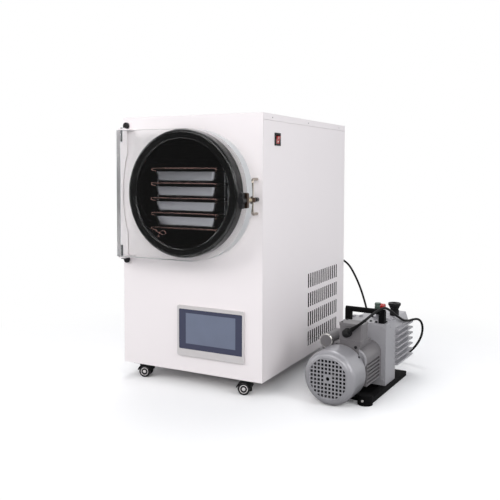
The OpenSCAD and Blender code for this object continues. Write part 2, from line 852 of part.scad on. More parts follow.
// Recessed mains inlet and the outlet that feeds the pump
module rear_sockets() {
  color([0.07, 0.07, 0.07]) in_frame() for (p = [inlet_place, outlet_place]) difference() {
    union() {
      xz_plate(p[0] - 25, p[1] - 16, 50, 32, 4, body_d, body_d + 3);
      box([p[0] - 13.5, body_d - 24, p[1] - 11.5], [p[0] + 13.5, body_d, p[1] + 11.5]);
    }
    box([p[0] - 12, body_d - 18, p[1] - 8], [p[0] + 12, body_d + 4, p[1] + 8]);
  }
}

// Vacuum pump -----------------------------------------------------------------------------

cover_r = fan_cover_d / 2;
cover_t = 1.6;
shoulder_r = 20;
grille_pitch = 10.2;
grille_hole = 6.6;

// Deep-drawn cover over the cooling fan, with the square-hole grille
module fan_cover() {
  t = cover_t;
  color([0.72, 0.71, 0.70]) at_pump() difference() {
    translate([0, 0, motor_z]) rotate([-90, 0, 0]) rotate_extrude($fn = 128) difference() {
      union() {
        translate([0, 0]) square([cover_r - shoulder_r, 10]);
        translate([0, shoulder_r]) square([cover_r, fan_cover_len - shoulder_r]);
        intersection() {
          translate([cover_r - shoulder_r, shoulder_r]) circle(shoulder_r, $fn = 96);
          square([cover_r, shoulder_r + 1]);
        }
        translate([0, 1]) square([cover_r - shoulder_r, shoulder_r]);
      }
      translate([0, t]) square([cover_r - shoulder_r, fan_cover_len]);
      translate([0, shoulder_r]) square([cover_r - t, fan_cover_len]);
      intersection() {
        translate([cover_r - shoulder_r, shoulder_r]) circle(shoulder_r - t, $fn = 96);
        square([cover_r, shoulder_r + 1]);
      }
    }
    for (i = [-4.5:1:4.5], j = [-4.5:1:4.5])
      if (norm([i, j]) < 5.2 && norm([i, j]) > 1.2)
        translate([i * grille_pitch - grille_hole / 2, -1, motor_z + j * grille_pitch - grille_hole / 2])
          cube([grille_hole, t + 2, grille_hole]);
    y_cyl(0, motor_z, -1, t + 1, 5);
  }
}

shaft_r = 6;
shaft_front = 32;

// Cooling fan on the motor's tail shaft
module motor_fan() {
  color([0.06, 0.06, 0.06]) at_pump() translate([0, 0, motor_z]) difference() {
    union() {
      y_cyl(0, 0, 34, 60, 18);
      y_cyl(0, 0, 56, 59, 62);
      for (a = [0:45:315]) rotate([0, a, 0]) translate([16, 30, -1.5]) cube([44, 27, 3]);
    }
    y_cyl(0, 0, 33, 61, shaft_r + fit);
  }
}

motor_r = 66;
motor_half = 72;                        // half width over the ribbed sides
rib_count = 6;
capacitor_place = [-44, 150];
capacitor_r = 19;
pad_top = 150;                          // flat pad under the terminal box

// Motor: round shell, ribbed sides, one raised shoulder, bearing end and tail shaft
module motor_body() {
  start = fan_cover_len + 8;
  rib_low = 45;
  rib_pitch = 10;
  rib_gap = 6;
  color([0.70, 0.69, 0.68]) at_pump() {
    difference() {
      union() {
        y_cyl(0, motor_z, fan_cover_len - 8, motor_end, motor_r);
        box([-motor_half, start, 40], [motor_half, motor_end, 104]);
        y_cyl(41, 108, start, motor_end, 31);
        box([-22, start - 4, 100], [50, motor_end - 25, pad_top]);
        box([-58, start + 6, 96], [-28, motor_end - 45, 142]);
      }
      for (side = [-motor_half, motor_half], k = [0:rib_count - 1])
        box([side - 6, start + 4, rib_low + k * rib_pitch],
          [side + 6, motor_end - 12, rib_low + k * rib_pitch + rib_gap]);
      y_cyl(capacitor_place[0], capacitor_place[1], start, motor_end + 1, capacitor_r);
    }
    y_cyl(0, motor_z, fan_cover_len - 20, fan_cover_len - 8, 40);
    y_cyl(0, motor_z, shaft_front, fan_cover_len - 19, shaft_r);
    difference() {
      y_cyl(0, motor_z, fan_cover_len - 6, fan_cover_len + 1, cover_r - cover_t);
      y_cyl(0, motor_z, fan_cover_len - 9, fan_cover_len + 2, cover_r - 9);
    }
  }
}

// Starting capacitor in its round can
module capacitor() {
  x = capacitor_place[0];
  z = capacitor_place[1];
  front = fan_cover_len + 4;
  color([0.62, 0.61, 0.60]) at_pump() {
    y_cyl(x, z, front, front + 82, capacitor_r);
    y_cyl(x, z, front - 3, front, capacitor_r - 3);
  }
}

box_x0 = -5;
box_y0 = 86;
box_w = 65;
box_len = 46;
box_top = 206;
lid_h = 8;

// Terminal box on the motor with its lid
module terminal_box() {
  lip = 1.5;
  color([0.66, 0.64, 0.62]) at_pump() {
    translate([box_x0, box_y0, pad_top]) linear_extrude(box_top - lid_h - pad_top)
      round_rect(box_w, box_len, 5);
    translate([box_x0 - lip, box_y0 - lip, box_top - lid_h]) linear_extrude(lid_h)
      round_rect(box_w + 2 * lip, box_len + 2 * lip, 6);
    translate([box_x0 - lip, box_y0 - lip, pad_top + 8]) linear_extrude(4)
      round_rect(box_w + 2 * lip, box_len + 2 * lip, 6);
  }
}

gland_centre = [20, 74, 181];           // middle of the elbow, in the pump's frame
gland_exit = [0.8, 0, 0.6];             // direction in which the lead leaves it
gland_reach = 20;                       // from the middle of the elbow to its mouth
cord_r = 3.5;

// Elbow-shaped compression gland that the pump's lead comes out of
module cable_gland() {
  color([0.05, 0.05, 0.05]) at_pump() {
    translate(gland_centre) {
      sphere(11.5);
      y_cyl(0, 0, 0, box_y0 - gland_centre[1], 10);
      rotate([0, atan2(gland_exit[0], gland_exit[2]), 0]) {
        cylinder(h = gland_reach - 6, r = 8);
        cylinder(h = gland_reach, r = 6);
      }
    }
    y_cyl(gland_centre[0], gland_centre[2], box_y0 - 5, box_y0, 12);
  }
}

ballast_x = 48;
ballast_y = 240;
ballast_z = block_top + 43;

// Bosses and screw heads on the block, as [x, y, radius, height]
top_bosses = [[-31, 258, 5, 4], [-14, 270, 5, 4], [36, 262, 9, 8], [68, 268, 15, 7]];

// Rectangular pump body with its bolted front edge
module pump_block() {
  half = block_w / 2;
  screw_head = 0.8;
  color([0.74, 0.73, 0.73]) at_pump() {
    translate([body_mid_x, 0, 0]) {
      box([-half, motor_end, rail_z], [half, block_end, block_top]);
      for (x = [-half - screw_head, half - 4], z = [rail_z + 14, block_top - 14])
        x_cyl(motor_end + 40, z, x, x + 4 + screw_head, 4);
    }
    for (p = top_bosses) translate([p[0], p[1], block_top]) cylinder(h = p[3], r = p[2]);
    translate([ballast_x, ballast_y, block_top]) cylinder(h = 36, r = 5.5);
    translate([ballast_x, ballast_y, block_top + 36]) cylinder(h = 15, r = 8.5);
    x_cyl(ballast_y, ballast_z, ballast_x, ballast_x + 8, 6);
    x_cyl(ballast_y, ballast_z, ballast_x, ballast_x + 18, 3);
  }
}

oil_z0 = 48;
oil_top = 184;
glass_z = 88;
fin_pitch = 16.5;

// Oil case: finned sides and back, sloped shoulders, filler and drain bosses
module oil_case() {
  core = block_w / 2 - 5;
  fin_half = block_w / 2 + fin_reach;
  shoulder = 8;
  shoulder_z = 160;
  fin_z = oil_z0 + 4.5;
  fin_t = 5;
  color([0.70, 0.69, 0.70]) at_pump() translate([body_mid_x, 0, 0]) {
    difference() {
      union() {
        translate([0, pump_len - 8, 0]) rotate([90, 0, 0]) linear_extrude(oil_len - 8)
          polygon([[-core, oil_z0], [core, oil_z0], [core, shoulder_z], [core - shoulder, oil_top],
            [-core + shoulder, oil_top], [-core, shoulder_z]]);
        for (k = [0:fin_count - 1])
          box([-fin_half, block_end, fin_z + k * fin_pitch],
            [fin_half, pump_len, fin_z + k * fin_pitch + fin_t]);
      }
      y_cyl(0, glass_z, pump_len - 16, pump_len + 1, 15);
      y_cyl(0, glass_z, pump_len - 8, pump_len + 1, 18);
    }
  }
}

// Black moulded base: a floor plate, two rails and a round foot beside the fan cover
module pump_base() {
  half = 69.5;
  rail_w = 21;
  foot = [54.5, 72];
  back = 375;
  color([0.06, 0.06, 0.06]) at_pump() translate([body_mid_x, 0, 0]) {
    translate([foot[0], foot[1], 0]) cylinder(h = 26, r = 20);
    box([half - rail_w, foot[1] + 6, 0], [half, back, rail_z]);
    box([-half, fan_cover_len + 4, 0], [half, back, 6]);
    box([-half, motor_end, 0], [half, back, rail_z]);
  }
}

handle_y = motor_end + 12;
handle_x = [-30, 70];
handle_top = 226;

// Carrying handle bolted to the top of the block
module pump_handle() {
  color([0.05, 0.05, 0.05]) at_pump() {
    for (x = handle_x) box([x - 8.5, handle_y - 8, block_top], [x + 8.5, handle_y + 8, handle_top - 6]);
    x_cyl(handle_y, handle_top - 6.5, handle_x[0] - 8.5, handle_x[1] + 8.5, 6.5);
    box([handle_x[0] - 8.5, handle_y - 6.5, handle_top - 14],
      [handle_x[1] + 8.5, handle_y + 6.5, handle_top - 6.5]);
  }
}

exhaust_place = [60, 350];

// Black funnel-shaped exhaust with its wide rim
module exhaust_port() {
  color([0.05, 0.05, 0.05]) at_pump()
    translate([exhaust_place[0], exhaust_place[1], oil_top]) difference() {
      union() {
        cylinder(h = 16, r = 13.5);
        translate([0, 0, 16]) cylinder(h = 14, r1 = 11, r2 = 17, $fn = 64);
        translate([0, 0, 30]) cylinder(h = 7, r = 18.5);
      }
      translate([0, 0, 6]) cylinder(h = 40, r = 9);
    }
}

// Red gas ballast knob on its side stem
module ballast_knob() {
  x0 = ballast_x + 9;
  color("firebrick") at_pump() difference() {
    x_cyl(ballast_y, ballast_z, x0, x0 + 12, 7.5);
    x_cyl(ballast_y, ballast_z, x0 - 1, ballast_x + 18.3, 3 + fit);
  }
}

// Round oil window in the back of the oil case
module sight_glass() {
  color("gold") at_pump() translate([body_mid_x, 0, 0]) {
    y_cyl(0, glass_z, pump_len - 16, pump_len - 8, 14.8);
    y_cyl(0, glass_z, pump_len - 8, pump_len, 17.8);
  }
}

// Pump lead ---------------------------------------------------------------------------------

// Place in the cabinet's frame of a point given in the pump's frame
function from_pump(p) = [
  pump_x + p[0] * cos(pump_turn) + p[1] * sin(pump_turn),
  pump_y - p[0] * sin(pump_turn) + p[1] * cos(pump_turn), p[2]];

// Route of the lead: over the pump's handle and down behind the oil case, in the pump's frame
route_on_pump = [[36, 74, 193], [47, 75, 201.5], [57, 83, 209.5], [63, 101, 216], [65, 140, 222],
  [69, 182, 228], [75, 220, 229.5], [79, 262, 214], [82, 305, 193], [86, 350, 173], [88, 395, 162],
  [93, 428, 160], [101, 452, 157], [106, 472, 144], [106, 486, 121], [98, 497, 92], [80, 503, 60],
  [52, 505, 30], [16, 502, 8]];

// and then along the floor and up to the outlet on the cabinet's back, in the cabinet's frame
route_to_outlet = [[622, 518, 4], [554, 519, 4], [528, 530, 4], [518, 555, 4], [528, 580, 4],
  [553, 591, 4], [600, 592, 4], [666, 590, 4], [691, 600, 4], [700, 624, 4], [691, 648, 4],
  [667, 658, 4], [624, 657, 4], [590, 657, 12], [565, 658, 42], [549, 660, 86], [535, 661, 144],
  [512, 660, 212], [482, 656, 272], [456, 655, 297], [434, 655, 300]];
cord_route = concat([for (p = route_on_pump) from_pump(p)], route_to_outlet);

// Point at t between b and c on the smooth curve through a, b, c and d
function on_curve(a, b, c, d, t) = (2 * b + (c - a) * t + (2 * a - 5 * b + 4 * c - d) * t * t
  + (3 * b - a - 3 * c + d) * t * t * t) / 2;

// The route with one more point in the middle of each stretch
function smooth_route(p) = let (n = len(p) - 1) concat([for (i = [0:n - 1]) each [p[i],
  on_curve(p[max(i - 1, 0)], p[i], p[i + 1], p[min(i + 2, n)], 0.5)]], [p[n]]);

function unit(v) = v / norm(v);
function heading(p, i) = unit(p[min(i + 1, len(p) - 1)] - p[max(i - 1, 0)]);

// Side vector of each ring, carried along the route without twist
function carried(p, i, side) = let (h = heading(p, i), s = unit(side - (side * h) * h))
  i == len(p) - 1 ? [s] : concat([s], carried(p, i + 1, s));

// Round tube through the points p
module tube(p, r, sides) {
  side = carried(p, 0, [0, 1, 0]);
  n = len(p);
  rings = [for (i = [0:n - 1], k = [0:sides - 1])
    let (a = 360 * k / sides) p[i] + r * (side[i] * cos(a) + cross(heading(p, i), side[i]) * sin(a))];
  walls = [for (i = [0:n - 2], k = [0:sides - 1])
    let (next = (k + 1) % sides)
      [i * sides + k, (i + 1) * sides + k, (i + 1) * sides + next, i * sides + next]];
  ends = [[for (k = [0:sides - 1]) k], [for (k = [sides - 1:-1:0]) (n - 1) * sides + k]];
  polyhedron(rings, concat(walls, ends));
}

module pump_cord() {
  color([0.05, 0.05, 0.05]) in_frame() tube(smooth_route(cord_route), cord_r, 10);
}

// Right-angled plug in the cabinet's outlet, with its sleeve
module cord_plug() {
  color([0.05, 0.05, 0.05]) in_frame() translate([outlet_place[0], body_d, outlet_place[1]]) {
    box([-11.8, -17, -7.8], [11.8, 4, 7.8]);
    xz_plate(-14, -11, 28, 22, 5, 3.1, 25);
    x_cyl(15, 0, 13, 24, 7);
    x_cyl(15, 0, 20, 34, 5.5);
  }
}

base_frame();
front_panel();
left_side_panel();
right_side_panel();
back_panel();
top_cover();
case_screws();
chamber_drum();
door_gasket();
drum_cradle();
shelf_rack();
tray(1);  // tray_1
tray(2);  // tray_2
tray(3);  // tray_3
tray(4);  // tray_4
compressor();
condenser();
fan_shroud();
condenser_fan();
control_board();
door();
hinge_plate();
hinge_pins();
hinge_bolts();
latch_bail();
latch_bumper();
latch_bolt();
latch_spacer();
clamp_pad();
latch_knob();
screen_bezel();
touch_screen();
switch_bezel();
power_rocker();
caster_stems();
caster_hood(0);  // caster_hood_1
caster_hood(1);  // caster_hood_2
caster_hood(2);  // caster_hood_3
caster_hood(3);  // caster_hood_4
caster_wheels(0);  // caster_wheels_1
caster_wheels(1);  // caster_wheels_2
caster_wheels(2);  // caster_wheels_3
caster_wheels(3);  // caster_wheels_4
vacuum_port();
rear_sockets();
fan_cover();
motor_fan();
motor_body();
capacitor();
terminal_box();
cable_gland();
pump_block();
oil_case();
pump_base();
pump_handle();
exhaust_port();
ballast_knob();
sight_glass();
pump_cord();
cord_plug();
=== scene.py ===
import json
import math

import bmesh
import bpy
from mathutils import Matrix, Vector

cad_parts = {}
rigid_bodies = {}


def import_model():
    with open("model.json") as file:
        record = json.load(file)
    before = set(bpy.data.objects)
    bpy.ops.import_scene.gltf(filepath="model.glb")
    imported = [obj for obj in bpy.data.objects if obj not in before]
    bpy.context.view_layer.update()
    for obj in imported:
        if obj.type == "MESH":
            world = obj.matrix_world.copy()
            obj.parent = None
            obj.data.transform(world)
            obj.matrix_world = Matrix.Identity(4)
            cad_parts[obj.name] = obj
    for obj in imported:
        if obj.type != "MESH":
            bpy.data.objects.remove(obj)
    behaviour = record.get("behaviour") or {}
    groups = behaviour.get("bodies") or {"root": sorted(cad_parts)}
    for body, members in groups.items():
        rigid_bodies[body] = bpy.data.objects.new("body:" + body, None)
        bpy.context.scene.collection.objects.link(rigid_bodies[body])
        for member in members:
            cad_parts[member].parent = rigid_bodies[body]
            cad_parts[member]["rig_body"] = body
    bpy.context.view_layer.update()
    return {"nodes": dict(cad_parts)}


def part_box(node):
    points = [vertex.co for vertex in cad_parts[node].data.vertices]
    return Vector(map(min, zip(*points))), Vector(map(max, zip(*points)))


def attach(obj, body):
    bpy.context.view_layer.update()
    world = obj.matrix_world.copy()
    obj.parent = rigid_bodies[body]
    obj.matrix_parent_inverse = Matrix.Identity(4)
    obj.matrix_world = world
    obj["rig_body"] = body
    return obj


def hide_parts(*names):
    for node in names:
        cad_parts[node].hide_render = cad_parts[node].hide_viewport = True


# Freeze dryer: white floor cabinet, clear round-ended door, four trays, and the vacuum pump beside it.
# The settings of the pieces are in mm and degrees; lamps, floor and camera are in metres and watts.
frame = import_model()
nodes = frame["nodes"]

mm = 0.001
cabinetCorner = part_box("front_panel")[0].xy.to_3d()
# where the front end of the motor's axis is beside the cabinet, and how far the pump is turned, in radians
pump = {"place": (638, 24), "turn": math.radians(3)}


def inCabinet(x, y, z):
    # x from the cabinet's left side, y back from its front, z up from the floor
    return cabinetCorner + Vector((x, y, z)) * mm


def atPump(x, y, z):
    # x from the motor's axis, y back along it, z up from the floor
    turned = Matrix.Rotation(-pump["turn"], 3, "Z") @ Vector((x, y, z))
    return cabinetCorner + (turned + Vector((*pump["place"], 0))) * mm


cabinetFrame = Matrix.Translation(cabinetCorner)
pumpFrame = Matrix.Translation(atPump(0, 0, 0)) @ Matrix.Rotation(-pump["turn"], 4, "Z")
pumpRight, pumpBack = pumpFrame.col[0].xyz, pumpFrame.col[1].xyz
up, back = Vector((0, 0, 1)), Vector((0, 1, 0))
print("frame loaded:", len(nodes), "pieces of CAD")

# Camera: to the right of the front and a little above the cabinet's middle, looking slightly down
cameraSettings = {"place": (0.8858, -1.904, 0.6163), "yaw": -27.6, "pitch": -2.8, "roll": 0.15,
                  "lens": 49.1, "sensor": 36, "shift": (0.004, -0.094), "farthest": 60}


def placeCamera(settings):
    data = bpy.data.cameras.new("camera")
    data.lens = settings["lens"]
    data.sensor_width = settings["sensor"]
    data.shift_x, data.shift_y = settings["shift"]
    data.clip_end = settings["farthest"]
    camera = bpy.data.objects.new("camera", data)
    bpy.context.scene.collection.objects.link(camera)
    turn = (Matrix.Rotation(math.radians(-settings["yaw"]), 4, "Z")
            @ Matrix.Rotation(math.radians(90 + settings["pitch"]), 4, "X")
            @ Matrix.Rotation(math.radians(settings["roll"]), 4, "Z"))
    camera.matrix_world = Matrix.Translation(settings["place"]) @ turn
    bpy.context.scene.camera = camera


placeCamera(cameraSettings)
print("camera placed")

# Materials


def linear(hexColour):
    # sRGB hex to linear RGBA, by the standard's own two-part curve
    parts = [int(hexColour[i:i + 2], 16) / 255 for i in (1, 3, 5)]
    return [c / 12.92 if c <= 0.04045 else ((c + 0.055) / 1.055) ** 2.4 for c in parts] + [1.0]


def addNode(tree, kind, settings=None, links=None):
    # a setting is an input's own value where the node has such an input, and else a property of the node
    node = tree.nodes.new(kind)
    for key, value in (settings or {}).items():
        if isinstance(key, int) or key in node.inputs:
            node.inputs[key].default_value = value
        else:
            setattr(node, key, value)
    for key, socket in (links or {}).items():
        tree.links.new(socket, node.inputs[key])
    return node


def makeSurface(name, colour, roughness, metallic=0.0, ior=1.5, grain=1.2, bump=0.0, bumpDetail=2,
                tint=0.04, cloud=90, glossChange=0.05, stretch=(1, 1, 1), **shaderSettings):
    # grain and cloud are sizes in mm: the fine relief and gloss, and the slow drift of colour
    material = bpy.data.materials.new(name)
    material.use_nodes = True
    tree = material.node_tree
    shader = tree.nodes["Principled BSDF"]
    shader.inputs["Metallic"].default_value = metallic
    shader.inputs["IOR"].default_value = ior
    for key, value in shaderSettings.items():
        shader.inputs[key].default_value = value
    place = addNode(tree, "ShaderNodeTexCoord").outputs["Object"]
    base = linear(colour)
    clouds = addNode(tree, "ShaderNodeTexNoise", {"Scale": 1000 / cloud, "Detail": 3}, {"Vector": place})
    tinted = addNode(tree, "ShaderNodeMapRange", {"To Min": 1 - tint, "To Max": 1 + tint},
                     {"Value": clouds.outputs["Fac"]})
    colourNode = addNode(tree, "ShaderNodeVectorMath", {"operation": "SCALE", 0: base[:3]},
                         {"Scale": tinted.outputs["Result"]})
    tree.links.new(colourNode.outputs["Vector"], shader.inputs["Base Color"])
    mapped = addNode(tree, "ShaderNodeMapping", {"Scale": stretch}, {"Vector": place})
    fine = addNode(tree, "ShaderNodeTexNoise", {"Scale": 1000 / grain, "Detail": bumpDetail},
                   {"Vector": mapped.outputs["Vector"]})
    gloss = addNode(tree, "ShaderNodeMapRange", {"To Min": roughness - glossChange,
                    "To Max": roughness + glossChange}, {"Value": fine.outputs["Fac"]})
    tree.links.new(gloss.outputs["Result"], shader.inputs["Roughness"])
    if bump:
        relief = addNode(tree, "ShaderNodeBump", {"Strength": 1.0, "Distance": bump * mm},
                         {"Height": fine.outputs["Fac"]})
        tree.links.new(relief.outputs["Normal"], shader.inputs["Normal"])
    return material


# Powder coat, baked on steel: even and satin, with a faint orange peel in its highlights
powderCoat = makeSurface("powderCoat", "#f4eeef", 0.40, grain=2.2, bump=0.010, tint=0.012, cloud=260)
# Zinc-plated steel sheet, rolled and passivated: dull, cool and a little cloudy
zincSheet = makeSurface("zincSheet", "#b9bcc0", 0.42, metallic=1, grain=6, tint=0.10, cloud=30)
# Painted shade on the walls of the slots in the side sheets: thin near-black brown-grey lines in the slots
slotShade = makeSurface("slotShade", "#2e2725", 0.5, metallic=0.4, grain=0.8, bump=0.01, tint=0.15, cloud=20)
# Blackened steel screws: dark and oily, with soft glints on their edges
blackenedSteel = makeSurface("blackenedSteel", "#2b2b2d", 0.38, metallic=0.7, grain=0.8, bump=0.01)
# Near-black and glossy inside the welded drum: deep, with streaked reflections
drumGlossBlack = makeSurface("drumGlossBlack", "#060608", 0.20, grain=14, bump=0.05, glossChange=0.06,
                          **{"Coat Weight": 0.5, "Coat Roughness": 0.08})
# Moulded nitrile rubber of the door seal: smooth, and wet-looking where the door has polished it
sealRubber = makeSurface("sealRubber", "#040405", 0.13, grain=1.5, bump=0.003, glossChange=0.03,
                         **{"Specular IOR Level": 0.3, "Coat Weight": 0.7, "Coat Roughness": 0.04})
# Hard-anodised aluminium shelves: brown-black, almost lost in the dark drum
anodisedShelf = makeSurface("anodisedShelf", "#241915", 0.42, metallic=0.5, grain=2, tint=0.10, cloud=60)
# Stainless sheet brushed and pressed into trays: grey satin, with streaks along their length.
# The brush lines are drawn ten times too coarse, as finer ones would not show
brushedStainless = makeSurface("brushedStainless", "#b0b0b6", 0.34, metallic=1, grain=0.9, bump=0.012,
                               stretch=(1, 0.04, 1), tint=0.05, cloud=70)
# Turned stainless steel: bright, with lathe marks drawn coarse enough to break up its reflections
turnedSteel = makeSurface("turnedSteel", "#cfcdca", 0.20, metallic=1, grain=0.7, bump=0.006, tint=0.05)
# Copper tube, drawn and tarnished: a thin pinkish-brown glint under the dark shelves
drawnCopper = makeSurface("drawnCopper", "#a5817a", 0.26, metallic=0.75, grain=5, tint=0.15, cloud=18)
# Nickelled rod, a little worn: grey-brown, bright only along one line
wornNickel = makeSurface("wornNickel", "#b5aca2", 0.22, metallic=1, grain=1.2, bump=0.006, tint=0.08,
                         cloud=15)
# Steel of the latch, heat-browned and oiled: dark, with warm glints
brownedSteel = makeSurface("brownedSteel", "#4a3a30", 0.34, metallic=0.8, grain=1.5, bump=0.01, tint=0.12,
                           cloud=12)
# Turned brass with its nickel plating rubbed thin: pale, only faintly yellow
turnedBrass = makeSurface("turnedBrass", "#b3a58c", 0.24, metallic=1, grain=0.8, tint=0.10, cloud=14)
# Ground steel dowels of the hinge, oiled: grey, with one bright line along them
groundDowel = makeSurface("groundDowel", "#a3a3a6", 0.22, metallic=1, grain=0.8, bump=0.004, tint=0.06)
# Aluminium fins in a matt brown-black: painted shade that keeps the inside behind the vents dark
finShade = makeSurface("finShade", "#171314", 0.55, grain=3, tint=0.10, cloud=40)
# Black ABS moulded in a spark-eroded tool: matt, with a sparkle of fine grain drawn coarser than it is
grainedPlastic = makeSurface("grainedPlastic", "#0a0a0b", 0.58, ior=1.49, grain=0.7, bump=0.02, tint=0.05,
                             **{"Specular IOR Level": 0.3})
# Softer rubbery moulding of the handle and base: dead black, with hardly any gloss even from above
softMoulding = makeSurface("softMoulding", "#050506", 0.7, grain=0.9, bump=0.02,
                           **{"Specular IOR Level": 0.12})
# Painted highlight on the front ends of the dark rails: a lighter grey, scored
railHighlight = makeSurface("railHighlight", "#9b9b9f", 0.45, metallic=0.4, grain=0.5, bump=0.02, tint=0.1)
# Tinned braid of the probe's wire: pale grey and matt
tinnedBraid = makeSurface("tinnedBraid", "#9a9a9c", 0.5, metallic=0.3, grain=0.5, bump=0.01, tint=0.05)
# Polished black nylon of the wheels: glossy, with crisp rings of light
wheelNylon = makeSurface("wheelNylon", "#060607", 0.20, ior=1.53, grain=3, tint=0.05,
                         **{"Coat Weight": 0.3, "Coat Roughness": 0.1})
# Grey enamel sprayed on cast aluminium: satin, with the casting's texture under it
castEnamel = makeSurface("castEnamel", "#a8a7ab", 0.40, grain=3.2, bump=0.09, bumpDetail=4, tint=0.05,
                         cloud=45, metallic=0.15)
# The motor's enamel, sprayed and aged with a dull film of oil: a darker and duller grey. On the capacitor
# this darker grey is painted shade
agedEnamelAndShade = makeSurface("agedEnamelAndShade", "#726f71", 0.40, grain=3.0, bump=0.06, bumpDetail=3, tint=0.07,
                         cloud=35, metallic=0.15)
# The same grey enamel on smooth drawn sheet: glossier, with even reflections
sheetEnamel = makeSurface("sheetEnamel", "#9c9b9f", 0.32, grain=5, bump=0.012, tint=0.03, cloud=60,
                          metallic=0.25)
# Moulded ABS painted silver: pale and satin, with metallic flake drawn coarser than it is
silverAbs = makeSurface("silverAbs", "#d3cfcf", 0.40, metallic=0.12, grain=0.6, bump=0.008, tint=0.05,
                        cloud=8)
# Float glass over a display that is off: dark blue-grey and sharp in its reflections
coverGlass = makeSurface("coverGlass", "#3e4157", 0.10, grain=60, glossChange=0.02, tint=0.03)
# The display laminated under the glass, unlit: a lighter blue-grey, a little cloudy
displayGlass = makeSurface("displayGlass", "#6e768a", 0.14, grain=60, glossChange=0.02, tint=0.08, cloud=50)
# Red polycarbonate, moulded in a polished tool: clean red with soft highlights
redPolycarbonate = makeSurface("redPolycarbonate", "#a31813", 0.22, ior=1.58, grain=8, tint=0.05)
# White ink, pad-printed on the rocker: matt and slightly warm
whiteInk = makeSurface("whiteInk", "#e8e6e2", 0.5, grain=1)
# Solder mask cured on glass-fibre board: dark green, half glossy and uneven
solderMask = makeSurface("solderMask", "#1f5a35", 0.35, grain=4, bump=0.02, tint=0.08, cloud=12)
# Black paint sprayed on the compressor and the fan's shroud: half glossy, with a little orange peel
blackPaint = makeSurface("blackPaint", "#131314", 0.35, grain=2.5, bump=0.02, tint=0.05)
# Mineral oil behind the sight glass: amber and very glossy
amberOil = makeSurface("amberOil", "#b98a2c", 0.08, grain=40, tint=0.04)
# Extruded rubber sheath of the lead: black and matt, a little dusty
leadRubber = makeSurface("leadRubber", "#030304", 0.55, grain=1.0, bump=0.02, tint=0.10, cloud=35,
                         **{"Specular IOR Level": 0.15})
# Aluminium fitting anodised grey-green: dark and satin, with a faint metal sheen
greenFitting = makeSurface("greenFitting", "#5d6f64", 0.35, metallic=0.6, grain=1.2, bump=0.01)


def acrylic(name, colour, roughness, transmission, ior=1.49):
    material = bpy.data.materials.new(name)
    material.use_nodes = True
    shader = material.node_tree.nodes["Principled BSDF"]
    for key, value in {"Base Color": linear(colour), "Roughness": roughness, "IOR": ior,
                       "Transmission Weight": transmission}.items():
        shader.inputs[key].default_value = value
    return material


# Cast acrylic sheet: colourless and sharp across its faces
castAcrylic = acrylic("castAcrylic", "#fcfdfd", 0.0, 1.0)
# Its sawn and scraped edges: pale and blurred, so that they read as bright lines
sawnAcrylic = acrylic("sawnAcrylic", "#f6f8fa", 0.30, 0.40)
print("materials made:", len(bpy.data.materials))

# Tools for making pieces


def finishPiece(bm, name, body, material, replaced=(), sharpAngle=35):
    # turns a bmesh into a named piece that rides on a body
    for face in bm.faces:
        face.smooth = True
    for edge in bm.edges:
        edge.smooth = len(edge.link_faces) == 2 and edge.calc_face_angle(0) < math.radians(sharpAngle)
    mesh = bpy.data.meshes.new(name)
    bm.to_mesh(mesh)
    bm.free()
    piece = bpy.data.objects.new(name, mesh)
    bpy.context.scene.collection.objects.link(piece)
    for each in material if isinstance(material, (list, tuple)) else [material]:
        mesh.materials.append(each)
    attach(piece, body)
    if replaced:
        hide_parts(*replaced)
    return piece


# how near the CAD mesh's loose corners are to be one, what counts as flat, and which edges get rounded
merging = {"joined": 0.01, "flatUpTo": 2.0, "sharpFrom": 40, "segments": 2}


def mergedCopy(nodeName):
    # the CAD node's own shape, with its loose triangles joined and its flat faces whole
    bm = bmesh.new()
    bm.from_mesh(nodes[nodeName].data)
    bmesh.ops.remove_doubles(bm, verts=bm.verts, dist=merging["joined"] * mm)
    bmesh.ops.dissolve_limit(bm, angle_limit=math.radians(merging["flatUpTo"]), verts=bm.verts,
                             edges=bm.edges)
    return bm


def roundEdges(bm, radius, only):
    edges = [e for e in bm.edges if len(e.link_faces) == 2
             and e.calc_face_angle(0) > math.radians(merging["sharpFrom"]) and (only is None or only(e))]
    bmesh.ops.bevel(bm, geom=edges, offset=radius * mm, segments=merging["segments"], profile=0.5,
                    affect="EDGES", material=-1, clamp_overlap=True)


def soften(nodeName, radius, material, only=None):
    # stands for a CAD node, with the edges rounded that a real sheet, casting or moulding has round
    bm = mergedCopy(nodeName)
    roundEdges(bm, radius, only)
    piece = finishPiece(bm, nodeName + "_shell", nodes[nodeName]["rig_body"], material,
                        [nodeName])
    weighted = piece.modifiers.new("evenShading", "WEIGHTED_NORMAL")
    weighted.keep_sharp = True
    return piece


def standUp(bm, verts, place, axis):
    # stands a shape that was made around +Z along an axis, at its place
    turn = Vector((0, 0, 1)).rotation_difference(Vector(axis)).to_matrix().to_4x4()
    bmesh.ops.transform(bm, matrix=Matrix.Translation(place) @ turn, verts=verts)


def lathe(bm, outline, place, axis, steps):
    # spins an outline of (radius, height) pairs in mm around an axis
    before = set(bm.verts)
    verts = [bm.verts.new((r * mm, 0, h * mm)) for r, h in outline]
    edges = [bm.edges.new(pair) for pair in zip(verts, verts[1:])]
    bmesh.ops.spin(bm, geom=verts + edges, cent=(0, 0, 0), axis=(0, 0, 1), steps=steps,
                   angle=2 * math.pi, use_merge=True)
    bmesh.ops.remove_doubles(bm, verts=[v for v in bm.verts if v not in before], dist=0.002 * mm)
    made = [v for v in bm.verts if v not in before]
    bmesh.ops.recalc_face_normals(bm, faces=list({f for v in made for f in v.link_faces}))
    standUp(bm, made, place, axis)


